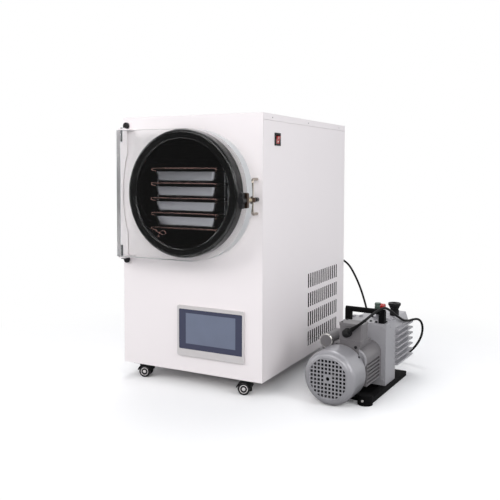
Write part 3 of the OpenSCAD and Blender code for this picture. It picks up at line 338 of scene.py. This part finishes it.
def bevelledBox(bm, low, high, matrix, bevel):
    # block between two corners in mm, with its edges bevelled, then put in its place by the matrix
    before = set(bm.verts)
    size = Vector([h - l for l, h in zip(low, high)]) * mm
    middle = Vector([h + l for l, h in zip(low, high)]) * mm / 2
    bmesh.ops.create_cube(bm, size=1, matrix=Matrix.Translation(middle) @ Matrix.Diagonal((*size, 1)))
    edges = list({e for v in bm.verts if v not in before for e in v.link_edges})
    bmesh.ops.bevel(bm, geom=edges, offset=bevel * mm, segments=1, profile=0.5, affect="EDGES",
                    material=-1, clamp_overlap=True)
    bmesh.ops.transform(bm, matrix=matrix, verts=[v for v in bm.verts if v not in before])


def pipe(name, points, radius, body, material):
    # round tube or rod along a smooth curve through the points, given in metres
    data = bpy.data.curves.new(name, "CURVE")
    data.dimensions = "3D"
    data.bevel_depth = radius * mm
    data.bevel_resolution = 4  # 12 sides
    data.use_fill_caps = True
    spline = data.splines.new("POLY")
    fine = smoothPath(points)
    spline.points.add(len(fine) - 1)
    for point, place in zip(spline.points, fine):
        point.co = (*place, 1)
    data.materials.append(material)
    piece = bpy.data.objects.new(name, data)
    bpy.context.scene.collection.objects.link(piece)
    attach(piece, body)
    return piece


def smoothPath(points, steps=6):
    # Catmull-Rom curve through the points, with so many steps from one to the next
    path = [Vector(p) for p in points]
    fine = []
    for i in range(len(path) - 1):
        a, b, c, d = path[max(i - 1, 0)], path[i], path[i + 1], path[min(i + 2, len(path) - 1)]
        for k in range(steps):
            t = k / steps
            fine.append((2 * b + (c - a) * t + (2 * a - 5 * b + 4 * c - d) * t * t
                         + (3 * b - a - 3 * c + d) * t ** 3) / 2)
    return fine + [path[-1]]


def turnedPiece(name, material, lathed, body="machine", replaced=(), sharpAngle=35):
    # one piece from one or more lathed shapes: rows of outline, place, axis and steps around
    bm = bmesh.new()
    for outline, place, axis, steps in lathed:
        lathe(bm, outline, place, axis, steps)
    return finishPiece(bm, name, body, material, replaced, sharpAngle)


def blockPiece(name, material, blocks, matrix, bevel):
    # one piece from one or more bevelled blocks: rows of low and high corner
    bm = bmesh.new()
    for low, high in blocks:
        bevelledBox(bm, low, high, matrix, bevel)
    return finishPiece(bm, name, "machine", material)


# The pump's lead, with its two sizes in metres
lead = {"length": 1.5, "diameter": 0.007}
# over the handle and down behind the oil case, in the pump's frame
leadOnPump = [(36, 74, 193), (47, 75, 201.5), (57, 83, 209.5), (63, 101, 216), (65, 140, 222),
              (69, 182, 228), (75, 220, 229.5), (79, 262, 214), (82, 305, 193), (86, 350, 173),
              (88, 395, 162), (93, 428, 160), (101, 452, 157), (106, 472, 144), (106, 486, 121),
              (98, 497, 92), (80, 503, 60), (52, 505, 30), (16, 502, 8)]
# along the floor and up to the outlet on the cabinet's back, in the cabinet's frame
leadToOutlet = [(622, 518, 4), (554, 519, 4), (528, 530, 4), (518, 555, 4), (528, 580, 4),
                (553, 591, 4), (600, 592, 4), (666, 590, 4), (691, 600, 4), (700, 624, 4),
                (691, 648, 4), (667, 658, 4), (624, 657, 4), (590, 657, 12), (565, 658, 42),
                (549, 660, 86), (535, 661, 144), (512, 660, 212), (482, 656, 272), (456, 655, 297),
                (434, 655, 300)]
leadRoute = [atPump(*p) for p in leadOnPump] + [inCabinet(*p) for p in leadToOutlet]
leadPiece = pipe("pump_lead", leadRoute, lead["diameter"] / 2 / mm, "machine", leadRubber)
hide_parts("pump_cord")
print("lead laid:", len(leadRoute), "points")

# Cabinet: painted sheets with rounded folds
folds = {"front_panel": 1.0, "back_panel": 0.8, "top_cover": 1.0, "base_frame": 0.6, "hinge_plate": 0.8}
for nodeName, radius in folds.items():
    soften(nodeName, radius, powderCoat)

# Side sheets: rounded folds, but the slots keep the sharp edges that a punch leaves, and the slots' walls
# are painted near-black as painted shade
sides = {"fold": 0.9, "slotsFrom": (312, 66), "slotsTo": (575, 302)}


def amongSlots(place):
    low = inCabinet(0, *sides["slotsFrom"])
    high = inCabinet(0, *sides["slotsTo"])
    return low.y < place.y < high.y and low.z < place.z < high.z


for nodeName in ("left_side_panel", "right_side_panel"):
    sheet = soften(nodeName, sides["fold"], [powderCoat, slotShade],
                   only=lambda edge: not amongSlots((edge.verts[0].co + edge.verts[1].co) / 2))
    # the slots' walls take the near-black painted shade, the rest is powder coat
    for face in sheet.data.polygons:
        face.material_index = 1 if amongSlots(face.center) and abs(face.normal.x) < 0.5 else 0
print("cabinet done")

# Turned and thin pieces keep their CAD shape, merged and smooth
plain = {"chamber_drum": drumGlossBlack, "drum_cradle": zincSheet,
         # the condenser's near-black fins are painted shade behind the vents
         "compressor": blackPaint, "condenser": finShade, "fan_shroud": blackPaint,
         "condenser_fan": grainedPlastic, "control_board": solderMask,
         "latch_bumper": sealRubber, "latch_spacer": turnedBrass, "hinge_pins": groundDowel,
         "case_screws": blackenedSteel, "caster_stems": turnedSteel, "vacuum_port": turnedSteel,
         "fan_cover": sheetEnamel, "motor_fan": grainedPlastic, "sight_glass": amberOil}
for nodeName, material in plain.items():
    soften(nodeName, 0, material)
# Castings, mouldings and fittings have their edges rounded
rounded = {"hinge_bolts": (0.5, blackenedSteel), "latch_bolt": (0.5, brownedSteel),
           "clamp_pad": (1.0, brownedSteel), "latch_knob": (1.0, blackenedSteel),
           "screen_bezel": (1.2, silverAbs), "touch_screen": (0.4, coverGlass),
           "switch_bezel": (0.6, grainedPlastic), "power_rocker": (0.8, redPolycarbonate),
           "rear_sockets": (0.6, grainedPlastic), "motor_body": (1.2, agedEnamelAndShade),
           # the capacitor's darker grey is painted shade
           "capacitor": (1.5, agedEnamelAndShade), "terminal_box": (1.2, agedEnamelAndShade),
           "cable_gland": (0.6, grainedPlastic), "pump_block": (1.6, castEnamel),
           "oil_case": (1.0, castEnamel), "pump_base": (2.0, softMoulding),
           "pump_handle": (2.0, softMoulding), "exhaust_port": (1.0, grainedPlastic),
           "ballast_knob": (0.8, redPolycarbonate), "cord_plug": (1.2, grainedPlastic)}
for i in range(1, 5):
    rounded[f"caster_hood_{i}"] = (0.8, grainedPlastic)
    rounded[f"caster_wheels_{i}"] = (0.5, wheelNylon)
for nodeName, (radius, material) in rounded.items():
    soften(nodeName, radius, material)

# Shelves and rails are anodised dark, and the front ends of the rails, which stand apart from the middle
# between them, are a lighter grey: a painted highlight along the rails' front edges
rails = {"edge": 0.4, "between": 228, "apart": 112, "highlightUpTo": 31}
rack = soften("shelf_rack", rails["edge"], [anodisedShelf, railHighlight])
rackMiddle = inCabinet(rails["between"], rails["highlightUpTo"], 0)
for face in rack.data.polygons:
    onRail = abs(face.center.x - rackMiddle.x) > rails["apart"] * mm
    frontFacing = face.normal.y < -0.9 and face.center.y < rackMiddle.y
    face.material_index = 1 if onRail and frontFacing else 0
print("castings, mouldings and fittings done")

# Gasket: one moulded ring over the drum's edge, with a full round at its outer rim and a lip inside
gasket = {"place": (230, 0, 550), "inner": 150, "outer": 178, "rear": 1, "front": 35.6, "rim": 9, "lip": 6,
          "drum": 156, "seat": 24, "steps": 128}


def quarter(middleR, middleH, radius, start, steps=8):
    # a quarter turn of a round corner, counted in degrees from straight outwards
    angles = [math.radians(start + 90 * i / steps) for i in range(steps + 1)]
    return [(middleR + radius * math.cos(a), middleH + radius * math.sin(a)) for a in angles]


gasketRing = [(gasket["drum"], gasket["seat"]), (gasket["drum"], gasket["rear"]),
              (gasket["outer"], gasket["rear"])]
gasketRing += quarter(gasket["outer"] - gasket["rim"], gasket["front"] - gasket["rim"], gasket["rim"], 0)
gasketRing += quarter(gasket["inner"] + gasket["lip"], gasket["front"] - gasket["lip"], gasket["lip"], 90)
gasketRing += [(gasket["inner"], gasket["seat"]), (gasket["drum"], gasket["seat"])]
turnedPiece("gasket_ring", sealRubber,
            [(gasketRing, inCabinet(*gasket["place"]), -back, gasket["steps"])], replaced=["door_gasket"])

# The bail's rod is nickelled, and its two feet are under the panel's paint
bail = {"paintedFrom": -3}
bailShell = soften("latch_bail", 0, [wornNickel, powderCoat])
for face in bailShell.data.polygons:
    face.material_index = 1 if face.center.y > inCabinet(0, bail["paintedFrom"], 0).y else 0

# Door: clear faces, and a pale sawn edge all around
door = {"edge": 1.2}
doorShell = soften("door", door["edge"], [castAcrylic, sawnAcrylic])
for face in doorShell.data.polygons:
    face.material_index = 1 if abs(face.normal.y) < 0.5 else 0
print("chamber and door done")

# Trays, pressed from one sheet: flared walls, round corners and a round foot
tray = {"middle": 225, "width": 200, "length": 440, "height": 31, "front": -8, "flare": 6, "wall": 1.2,
        "corner": 12, "foot": 8, "topShelf": 621, "pitch": 42}


def pressTray(i):
    bm = bmesh.new()
    bottom = tray["topShelf"] - i * tray["pitch"]
    middle = inCabinet(tray["middle"], tray["front"] + tray["length"] / 2, bottom + tray["height"] / 2)
    size = Vector((tray["width"], tray["length"], tray["height"])) * mm
    bmesh.ops.create_cube(bm, size=1, matrix=Matrix.Translation(middle) @ Matrix.Diagonal((*size, 1)))
    low = [v for v in bm.verts if v.co.z < middle.z]
    narrow = Matrix.Diagonal((1 - 2 * tray["flare"] / tray["width"],
                              1 - 2 * tray["flare"] / tray["length"], 1, 1))
    bmesh.ops.transform(bm, matrix=Matrix.Translation(middle) @ narrow @ Matrix.Translation(-middle),
                        verts=low)
    bmesh.ops.delete(bm, geom=[f for f in bm.faces if f.normal.z > 0.9], context="FACES_ONLY")
    upright = [e for e in bm.edges if abs((e.verts[0].co - e.verts[1].co).z) > tray["height"] / 2 * mm]
    bmesh.ops.bevel(bm, geom=upright, offset=tray["corner"] * mm, segments=5, profile=0.5, affect="EDGES",
                    material=-1)
    floorFace = min(bm.faces, key=lambda f: f.calc_center_median().z)
    bmesh.ops.bevel(bm, geom=list(floorFace.edges), offset=tray["foot"] * mm, segments=4, profile=0.5,
                    affect="EDGES", material=-1)
    piece = finishPiece(bm, f"tray_{i}_pan", "machine", brushedStainless, [f"tray_{i}"])
    wall = piece.modifiers.new("wall", "SOLIDIFY")
    wall.thickness = tray["wall"] * mm
    wall.offset = -1


for i in range(1, 5):
    pressTray(i)

# Heating tubes clipped under the front edge of each shelf, hooked down and back at both ends. The hooks
# are given from the tube's own ends
heater = {"radius": 1.0, "left": 119, "middle": 228, "right": 329, "front": -11.3, "drop": 1.2}
for i in range(5):
    x0, x1, y = heater["left"], heater["right"], heater["front"]
    z = tray["topShelf"] - i * tray["pitch"] - heater["drop"]
    leftHook = [(x0 + 14, y + 1, z - 8), (x0 + 6, y + 1, z - 7), (x0 - 1, y, z - 4.5), (x0, y, z - 0.6)]
    along = [(x0 + 7, y, z), (heater["middle"], y, z + 0.4), (x1 - 6, y, z)]
    rightHook = [(x1, y, z - 1.5), (x1 + 1, y, z - 6), (x1 + 0.5, y + 1, z - 13)]
    pipe(f"shelf_heater_{i}", [inCabinet(*p) for p in leftHook + along + rightHook], heater["radius"],
         "machine", drawnCopper)

# Loose loops of a sensor's thin tube under the lowest shelf
tail = {"radius": 1.1, "route": [(131, -10.5, 445), (136, -11, 440), (146, -11, 436), (158, -11, 431),
                                 (165, -11, 436), (160, -11, 443), (150, -11, 441), (142, -11, 432),
                                 (144, -11, 422), (150, -10.5, 417)]}
pipe("sensor_tail", [inCabinet(*p) for p in tail["route"]], tail["radius"], "machine",
     drawnCopper)
print("trays and heating tubes done")


def screwHead(bm, place, axis, radius, height):
    # cheese head with a round socket
    lathe(bm, [(0, height * 0.4), (radius * 0.42, height * 0.4), (radius * 0.42, height),
               (radius * 0.85, height), (radius, height * 0.8), (radius, 0), (0, 0)], place, axis, 24)


def screwSet(name, places, axis, radius, height, slotName="screw_black", material=blackenedSteel):
    bm = bmesh.new()
    for place in places:
        screwHead(bm, place, axis, radius, height)
    return finishPiece(bm, name, "machine", material)


# Thin pale wire of the shelves' probe, looped in front of the right rail and held by three beads
probe = {"x": 344.5, "rail": 34, "bend": 18, "front": 12, "top": 618, "middle": 550, "low": 488,
         "radius": 0.9, "beads": (577, 536, 494), "beadRadius": 1.8, "beadHeight": 1.5}
probeLoop = [(probe["rail"], probe["top"]), (probe["bend"], probe["top"] - 3),
             (probe["front"], probe["top"] - 14), (probe["front"], probe["middle"]),
             (probe["front"], probe["low"] + 14), (probe["bend"], probe["low"] + 3),
             (probe["rail"], probe["low"])]
pipe("probe_wire", [inCabinet(probe["x"], y, z) for y, z in probeLoop], probe["radius"], "machine",
     tinnedBraid)
screwSet("probe_beads", [inCabinet(probe["x"], probe["front"], z) for z in probe["beads"]], -back,
         probe["beadRadius"], probe["beadHeight"], "shelf_metal", tinnedBraid)

# Four screws in the flange of the vacuum port
port = {"x": 230, "back": 643, "z": 550, "spread": 17.6775}
portScrews = [inCabinet(port["x"] + across * port["spread"], port["back"], port["z"] + rise * port["spread"])
              for across in (-1, 1) for rise in (-1, 1)]
screwSet("port_screws", portScrews, back, 3.6, 3)

# Round-headed bolts of the hinge strip, with hexagon sockets in bright steel: the sockets' brightness is
# a painted highlight on the black heads
hingeBolt = {"x": 15, "face": -3, "heights": (351, 743),
             "head": [(0, 4), (3.6, 4), (3.6, 6.8), (6.4, 7), (8.9, 5.6), (10.3, 3), (10.5, 0.6), (10.5, 0),
                      (4, 0), (4, -21), (0, -21)],
             "socket": [(0, 4.2), (2.6, 4.2), (4.2, 4.9), (4.6, 3.8), (0, 3.8)]}
boltPlaces = [inCabinet(hingeBolt["x"], hingeBolt["face"], z) for z in hingeBolt["heights"]]
turnedPiece("hinge_bolt_heads", blackenedSteel,
            [(hingeBolt["head"], place, -back, 48) for place in boltPlaces], replaced=["hinge_bolts"])
turnedPiece("hinge_bolt_sockets", turnedSteel,
            [(hingeBolt["socket"], place, -back, 6) for place in boltPlaces])

# Display, which is off, behind the screen's glass
display = {"low": (220.5, -4.75, 124), "high": (380.5, -4.3, 211), "bevel": 0.15}
blockPiece("screen_display", displayGlass, [(display["low"], display["high"])], cabinetFrame,
           display["bevel"])

# I and O printed on the rocker's two halves, with their sizes in the frame of the tilted rocker
rocker = {"pivot": (456, 89, 700), "tilt": 12, "stroke": ((7.4, -0.6, 3.4), (8.15, 0.6, 7.6)), "bevel": 0.1,
          "ring": [(1.5, 0), (1.5, 0.6), (2.3, 0.6), (2.3, 0), (1.5, 0)], "ringPlace": (7.55, 0, -5.5)}
rockerFrame = (Matrix.Translation(inCabinet(*rocker["pivot"]))
               @ Matrix.Rotation(math.radians(rocker["tilt"]), 4, "Y"))
bm = bmesh.new()
bevelledBox(bm, *rocker["stroke"], rockerFrame, rocker["bevel"])
lathe(bm, rocker["ring"], rockerFrame @ (Vector(rocker["ringPlace"]) * mm), rockerFrame.col[0].xyz, 32)
finishPiece(bm, "rocker_marks", "power_rocker", whiteInk)

# Axle caps and rings on the caster wheels, in pale silver plastic: the pale rings are painted highlights on
# the black wheels, and the caps' paleness is partly a painted highlight. Each caster's x, y and the way it
# trails in degrees
hub = {"trail": 14, "height": 17, "face": 16.5,
       "casters": [(48, 22, 15), (412, 22, 195), (412, 618, 195), (48, 618, 15)],
       "cap": [(0, 2.6), (2.4, 2.3), (4.2, 1.4), (5, 0), (0, 0)],
       "ring": [(9.6, 0), (9.8, 0.6), (10.6, 0.9), (11.4, 0.6), (11.6, 0), (9.6, 0)]}
for i, (x, y, angle) in enumerate(hub["casters"], 1):
    along = Vector((math.cos(math.radians(angle)), math.sin(math.radians(angle)), 0))
    middle = inCabinet(x, y, hub["height"]) + along * hub["trail"] * mm
    axles = [Vector((-along.y, along.x, 0)) * side for side in (-1, 1)]
    for name, outline, steps in (("axle_caps", hub["cap"], 24), ("hub_highlight_rings", hub["ring"], 48)):
        turnedPiece(f"{name}_{i}", silverAbs,
                    [(outline, middle + axle * hub["face"] * mm, axle, steps) for axle in axles],
                    f"caster_wheels_{i}")
print("screws, screen, rocker and casters done")

# Fan cover of the motor: four screws around its rim and a rolled bead where it opens
fanCover = {"axis": 74, "radius": 72.5, "screwsAt": 77, "screws": (40, 140, 220, 320), "sunk": 0.2,
            "bead": [(53.4, -0.4), (54, 0.5), (55, 0.7), (56, 0.3), (57, -0.6), (53.4, -0.4)]}
bm = bmesh.new()
for angle in fanCover["screws"]:
    a = math.radians(angle)
    outwards = pumpRight * math.cos(a) + up * math.sin(a)
    place = atPump(fanCover["radius"] * math.cos(a), fanCover["screwsAt"],
                   fanCover["axis"] + fanCover["radius"] * math.sin(a))
    screwHead(bm, place - outwards * fanCover["sunk"] * mm, outwards, 3.0, 1.8)
finishPiece(bm, "fan_cover_screws", "machine", blackenedSteel)
turnedPiece("cover_bead", sheetEnamel,
            [(fanCover["bead"], atPump(0, 0, fanCover["axis"]), -pumpBack, 96)])

# Raised ring and plug on the motor's front, and the rolled rim of its capacitor
motorRing = {"place": (41, 92, 108), "ring": [(23, -2), (23, 1.6), (25, 3), (28.5, 3), (31, 1), (31, -2)],
             "plug": [(0, 0.6), (21, 0.6), (22, 0)]}
turnedPiece("motor_ring", sheetEnamel,
            [(motorRing[part], atPump(*motorRing["place"]), -pumpBack, 64) for part in ("ring", "plug")])
capacitor = {"place": (-44, 87.5, 150),
             "rim": [(15.5, 1.4), (18, 1.6), (19.2, 0.8), (19.4, -3), (15.5, -3), (15.5, 1.4)]}
turnedPiece("capacitor_rim", turnedSteel,
            [(capacitor["rim"], atPump(*capacitor["place"]), -pumpBack, 64)])

# Screws of the terminal box, its pad, the pump block and the base: places, then radius and height of heads
pumpScrews = {"terminal": ([(x, y, 206) for x in (1, 54) for y in (92, 126)], 3, 1.6),
              "pad": ([(-12, 88, 143), (42, 88, 143)], 4, 3),
              "block": ([(76, 203, 176), (76, 203, 28), (-33, 203, 176)], 5, 1.2),
              "blockTop": ([(16, 214, 187), (34, 222, 187), (52, 216, 187), (20, 276, 187), (76, 232, 187)],
                           3.6, 3.2),
              "foot": ([(76, 52.3, 14)], 3.6, 1.6)}


def pumpScrewSet(name, key, axis, **finish):
    places, radius, height = pumpScrews[key]
    screwSet(name, [atPump(*place) for place in places], axis, radius, height, **finish)


pumpScrewSet("terminal_screws", "terminal", up)
pumpScrewSet("pad_screws", "pad", -pumpBack)
pumpScrewSet("block_screws", "block", -pumpBack, slotName="pump_paint", material=castEnamel)
pumpScrewSet("block_top_screws", "blockTop", up)

# Hexagon nut of the lead's gland
glandNut = {"place": (20, 86, 181), "outline": [(0, 6), (9, 6), (12.6, 4.8), (12.6, 1.2), (9, 0), (0, 0)]}
turnedPiece("gland_nut", grainedPlastic,
            [(glandNut["outline"], atPump(*glandNut["place"]), -pumpBack, 6)], sharpAngle=20)

# Thin gasket between the pump block and the oil case
caseGasket = {"low": (-40.5, 284.3, 50), "high": (83.5, 285.7, 181), "bevel": 0.3}
blockPiece("case_gasket", sealRubber, [(caseGasket["low"], caseGasket["high"])], pumpFrame,
           caseGasket["bevel"])

# Grooved sleeve under the gas ballast knob
ballastSleeve = {"place": (48, 240, 221.6),
                 "outline": [(0, 17), (7.6, 17), (9.2, 15.6), (9.2, 10), (8.4, 9), (9.2, 8), (9.2, 1),
                             (8, 0), (0, 0)]}
turnedPiece("ballast_sleeve", greenFitting,
            [(ballastSleeve["outline"], atPump(*ballastSleeve["place"]), up, 40)])
pumpScrewSet("foot_bolt", "foot", -pumpBack, slotName="bright_steel", material=turnedSteel)

# Bright ring around the sight glass, and the hexagon drain plug below it
sightGlass = {"glass": (21.5, 428.6, 88), "drain": (21.5, 428.6, 60),
              "ring": [(17.2, -1.5), (17.2, 0.4), (18.6, 1.6), (22, 1.6), (23, 0.4), (23, -1.5),
                       (17.2, -1.5)],
              "plug": [(0, 1.2), (5, 1.2), (6.4, 0.6), (6.4, -2), (0, -2)]}
turnedPiece("glass_ring", turnedSteel,
            [(sightGlass["ring"], atPump(*sightGlass["glass"]), pumpBack, 64),
             (sightGlass["plug"], atPump(*sightGlass["drain"]), pumpBack, 6)])

# Three pins in the mains inlet on the cabinet's back
inletPins = {"places": ((83, 151.5), (97, 151.5), (90, 147.5)), "inside": 624, "tip": 638, "half": (1, 2.5),
             "bevel": 0.3}
pinBlocks = [((x - inletPins["half"][0], inletPins["inside"], z - inletPins["half"][1]),
              (x + inletPins["half"][0], inletPins["tip"], z + inletPins["half"][1]))
             for x, z in inletPins["places"]]
blockPiece("inlet_pins", turnedSteel, pinBlocks, cabinetFrame, inletPins["bevel"])

# Tapered sleeves where the lead leaves the gland and enters its plug
sleeve = {"outline": [(3.3, 0), (6.1, 0), (5.9, 2), (5.0, 9), (4.2, 17), (3.8, 22), (3.3, 22), (3.3, 0)],
          "atPlug": 0.93, "steps": 32}
plugOutline = [(radius * sleeve["atPlug"], height) for radius, height in sleeve["outline"]]
glandSleeve = turnedPiece("gland_sleeve", leadRubber,
                          [(sleeve["outline"], leadRoute[0], pumpRight * 0.8 + up * 0.6, sleeve["steps"])])
plugSleeve = turnedPiece("plug_sleeve", leadRubber,
                         [(plugOutline, leadRoute[-1], leadRoute[-2] - leadRoute[-1], sleeve["steps"])])
print("pump fittings and lead done")

# Floor and light: sizes and places in metres, power in watts
warmWhite, plainWhite = (1, 0.987, 0.98), (1, 1, 1)
lamps = {"softboxLeft": {"place": (-0.9, -3.0, 2.2), "aim": (0, 0, 0.45), "size": (2.4, 2.0),
                         "power": 40.5, "colour": warmWhite},
         "softboxFront": {"place": (1.5, -3.2, 1.7), "aim": (0, -0.3, 0.5), "size": (1.6, 1.6),
                          "power": 33, "colour": warmWhite},
         "softboxRight": {"place": (2.6, -0.8, 1.5), "aim": (0.1, 0, 0.45), "size": (1.4, 1.6),
                          "power": 30, "colour": plainWhite},
         "overhead": {"place": (-1.2, 2.0, 5.0), "aim": (0, 0, 0.2), "size": (3.0, 3.0),
                      "power": 100, "colour": plainWhite},
         "stripLeft": {"place": (-2.3, -1.5, 0.95), "aim": (-0.15, -0.33, 0.6), "size": (0.5, 1.6),
                       "power": 13, "colour": plainWhite}}
for name, lamp in lamps.items():
    data = bpy.data.lights.new(name, "AREA")
    data.shape = "RECTANGLE"
    data.size, data.size_y = lamp["size"]
    data.energy = lamp["power"]
    data.color = lamp["colour"]
    light = bpy.data.objects.new(name, data)
    light.location = lamp["place"]
    light.rotation_euler = (Vector(lamp["aim"]) - Vector(lamp["place"])).to_track_quat("-Z", "Y").to_euler()
    bpy.context.scene.collection.objects.link(light)

# White backdrop behind the object and a dim room in front of it, as polished pieces reflect them
studio = {"light": "#f1f4fb", "strength": 0.42, "room": 0.08, "blend": 0.25}


def studioWorld(settings):
    world = bpy.data.worlds.new("studio")
    world.use_nodes = True
    tree = world.node_tree
    tree.nodes.clear()
    ray = addNode(tree, "ShaderNodeLightPath")
    direction = addNode(tree, "ShaderNodeTexCoord").outputs["Generated"]
    split = addNode(tree, "ShaderNodeSeparateXYZ", {}, {"Vector": direction})
    towardsBack = addNode(tree, "ShaderNodeMapRange",
                          {"interpolation_type": "SMOOTHSTEP", "From Min": -settings["blend"],
                           "From Max": settings["blend"], "To Min": settings["room"], "To Max": 1.0},
                          {"Value": split.outputs["Y"]})
    # what is only seen through the clear door stays white from every side
    unreflected = addNode(tree, "ShaderNodeMath", {"operation": "LESS_THAN", 1: 0.5},
                          {0: ray.outputs["Glossy Depth"]})
    whiteness = addNode(tree, "ShaderNodeMath", {"operation": "MAXIMUM"},
                        {0: towardsBack.outputs["Result"], 1: unreflected.outputs[0]})
    seen = addNode(tree, "ShaderNodeMath", {"operation": "MAXIMUM"},
                   {0: ray.outputs["Is Glossy Ray"], 1: ray.outputs["Is Transmission Ray"]})
    lighting = addNode(tree, "ShaderNodeBackground", {"Color": linear(settings["light"]),
                       "Strength": settings["strength"]})
    backdrop = addNode(tree, "ShaderNodeBackground", {"Color": (1, 1, 1, 1)},
                       {"Strength": whiteness.outputs[0]})
    white = addNode(tree, "ShaderNodeBackground", {"Color": (1, 1, 1, 1), "Strength": 1.0})
    polished = addNode(tree, "ShaderNodeMixShader", {}, {0: seen.outputs[0], 1: lighting.outputs[0],
                                                         2: backdrop.outputs[0]})
    mixed = addNode(tree, "ShaderNodeMixShader", {}, {0: ray.outputs["Is Camera Ray"],
                                                      1: polished.outputs[0], 2: white.outputs[0]})
    addNode(tree, "ShaderNodeOutputWorld", {}, {"Surface": mixed.outputs[0]})
    return world


bpy.context.scene.world = studioWorld(studio)

# Matt pale floor that keeps the object's shadow and turns to plain white further out. It gives back less
# light than it shows to the camera, so that the undersides stay dark
pale = {"radius": 1.6, "fadeFrom": 0.42, "fadeTo": 1.2, "givesBack": 0.45}


def paleFloor(settings):
    material = bpy.data.materials.new("paleFloor")
    material.use_nodes = True
    tree = material.node_tree
    tree.nodes.clear()
    place = addNode(tree, "ShaderNodeTexCoord").outputs["Object"]
    distance = addNode(tree, "ShaderNodeVectorMath", {"operation": "LENGTH"}, {0: place})
    fade = addNode(tree, "ShaderNodeMapRange", {"interpolation_type": "SMOOTHSTEP",
                   "From Min": settings["fadeFrom"], "From Max": settings["fadeTo"]},
                   {"Value": distance.outputs["Value"]})
    ray = addNode(tree, "ShaderNodeLightPath")
    seen = addNode(tree, "ShaderNodeMath", {"operation": "MAXIMUM"},
                   {0: ray.outputs["Is Camera Ray"], 1: ray.outputs["Is Transmission Ray"]})
    share = addNode(tree, "ShaderNodeMath", {"operation": "MULTIPLY"},
                    {0: fade.outputs["Result"], 1: seen.outputs[0]})
    shade = addNode(tree, "ShaderNodeMapRange", {"To Min": settings["givesBack"], "To Max": 1.0},
                    {"Value": seen.outputs[0]})
    matt = addNode(tree, "ShaderNodeBsdfDiffuse", {}, {"Color": shade.outputs["Result"]})
    glow = addNode(tree, "ShaderNodeEmission", {"Color": (1, 1, 1, 1), "Strength": 1.0})
    both = addNode(tree, "ShaderNodeMixShader", {}, {0: share.outputs[0], 1: matt.outputs[0],
                                                     2: glow.outputs[0]})
    addNode(tree, "ShaderNodeOutputMaterial", {}, {"Surface": both.outputs[0]})
    return material


bm = bmesh.new()
bmesh.ops.create_circle(bm, cap_ends=True, radius=pale["radius"], segments=96)
floorMesh = bpy.data.meshes.new("floor")
bm.to_mesh(floorMesh)
bm.free()
floorMesh.materials.append(paleFloor(pale))
floor = bpy.data.objects.new("floor", floorMesh)
bpy.context.scene.collection.objects.link(floor)
print("studio set:", len(lamps), "lamps")

bpy.context.scene.view_settings.view_transform = "Standard"

print("scene ready")
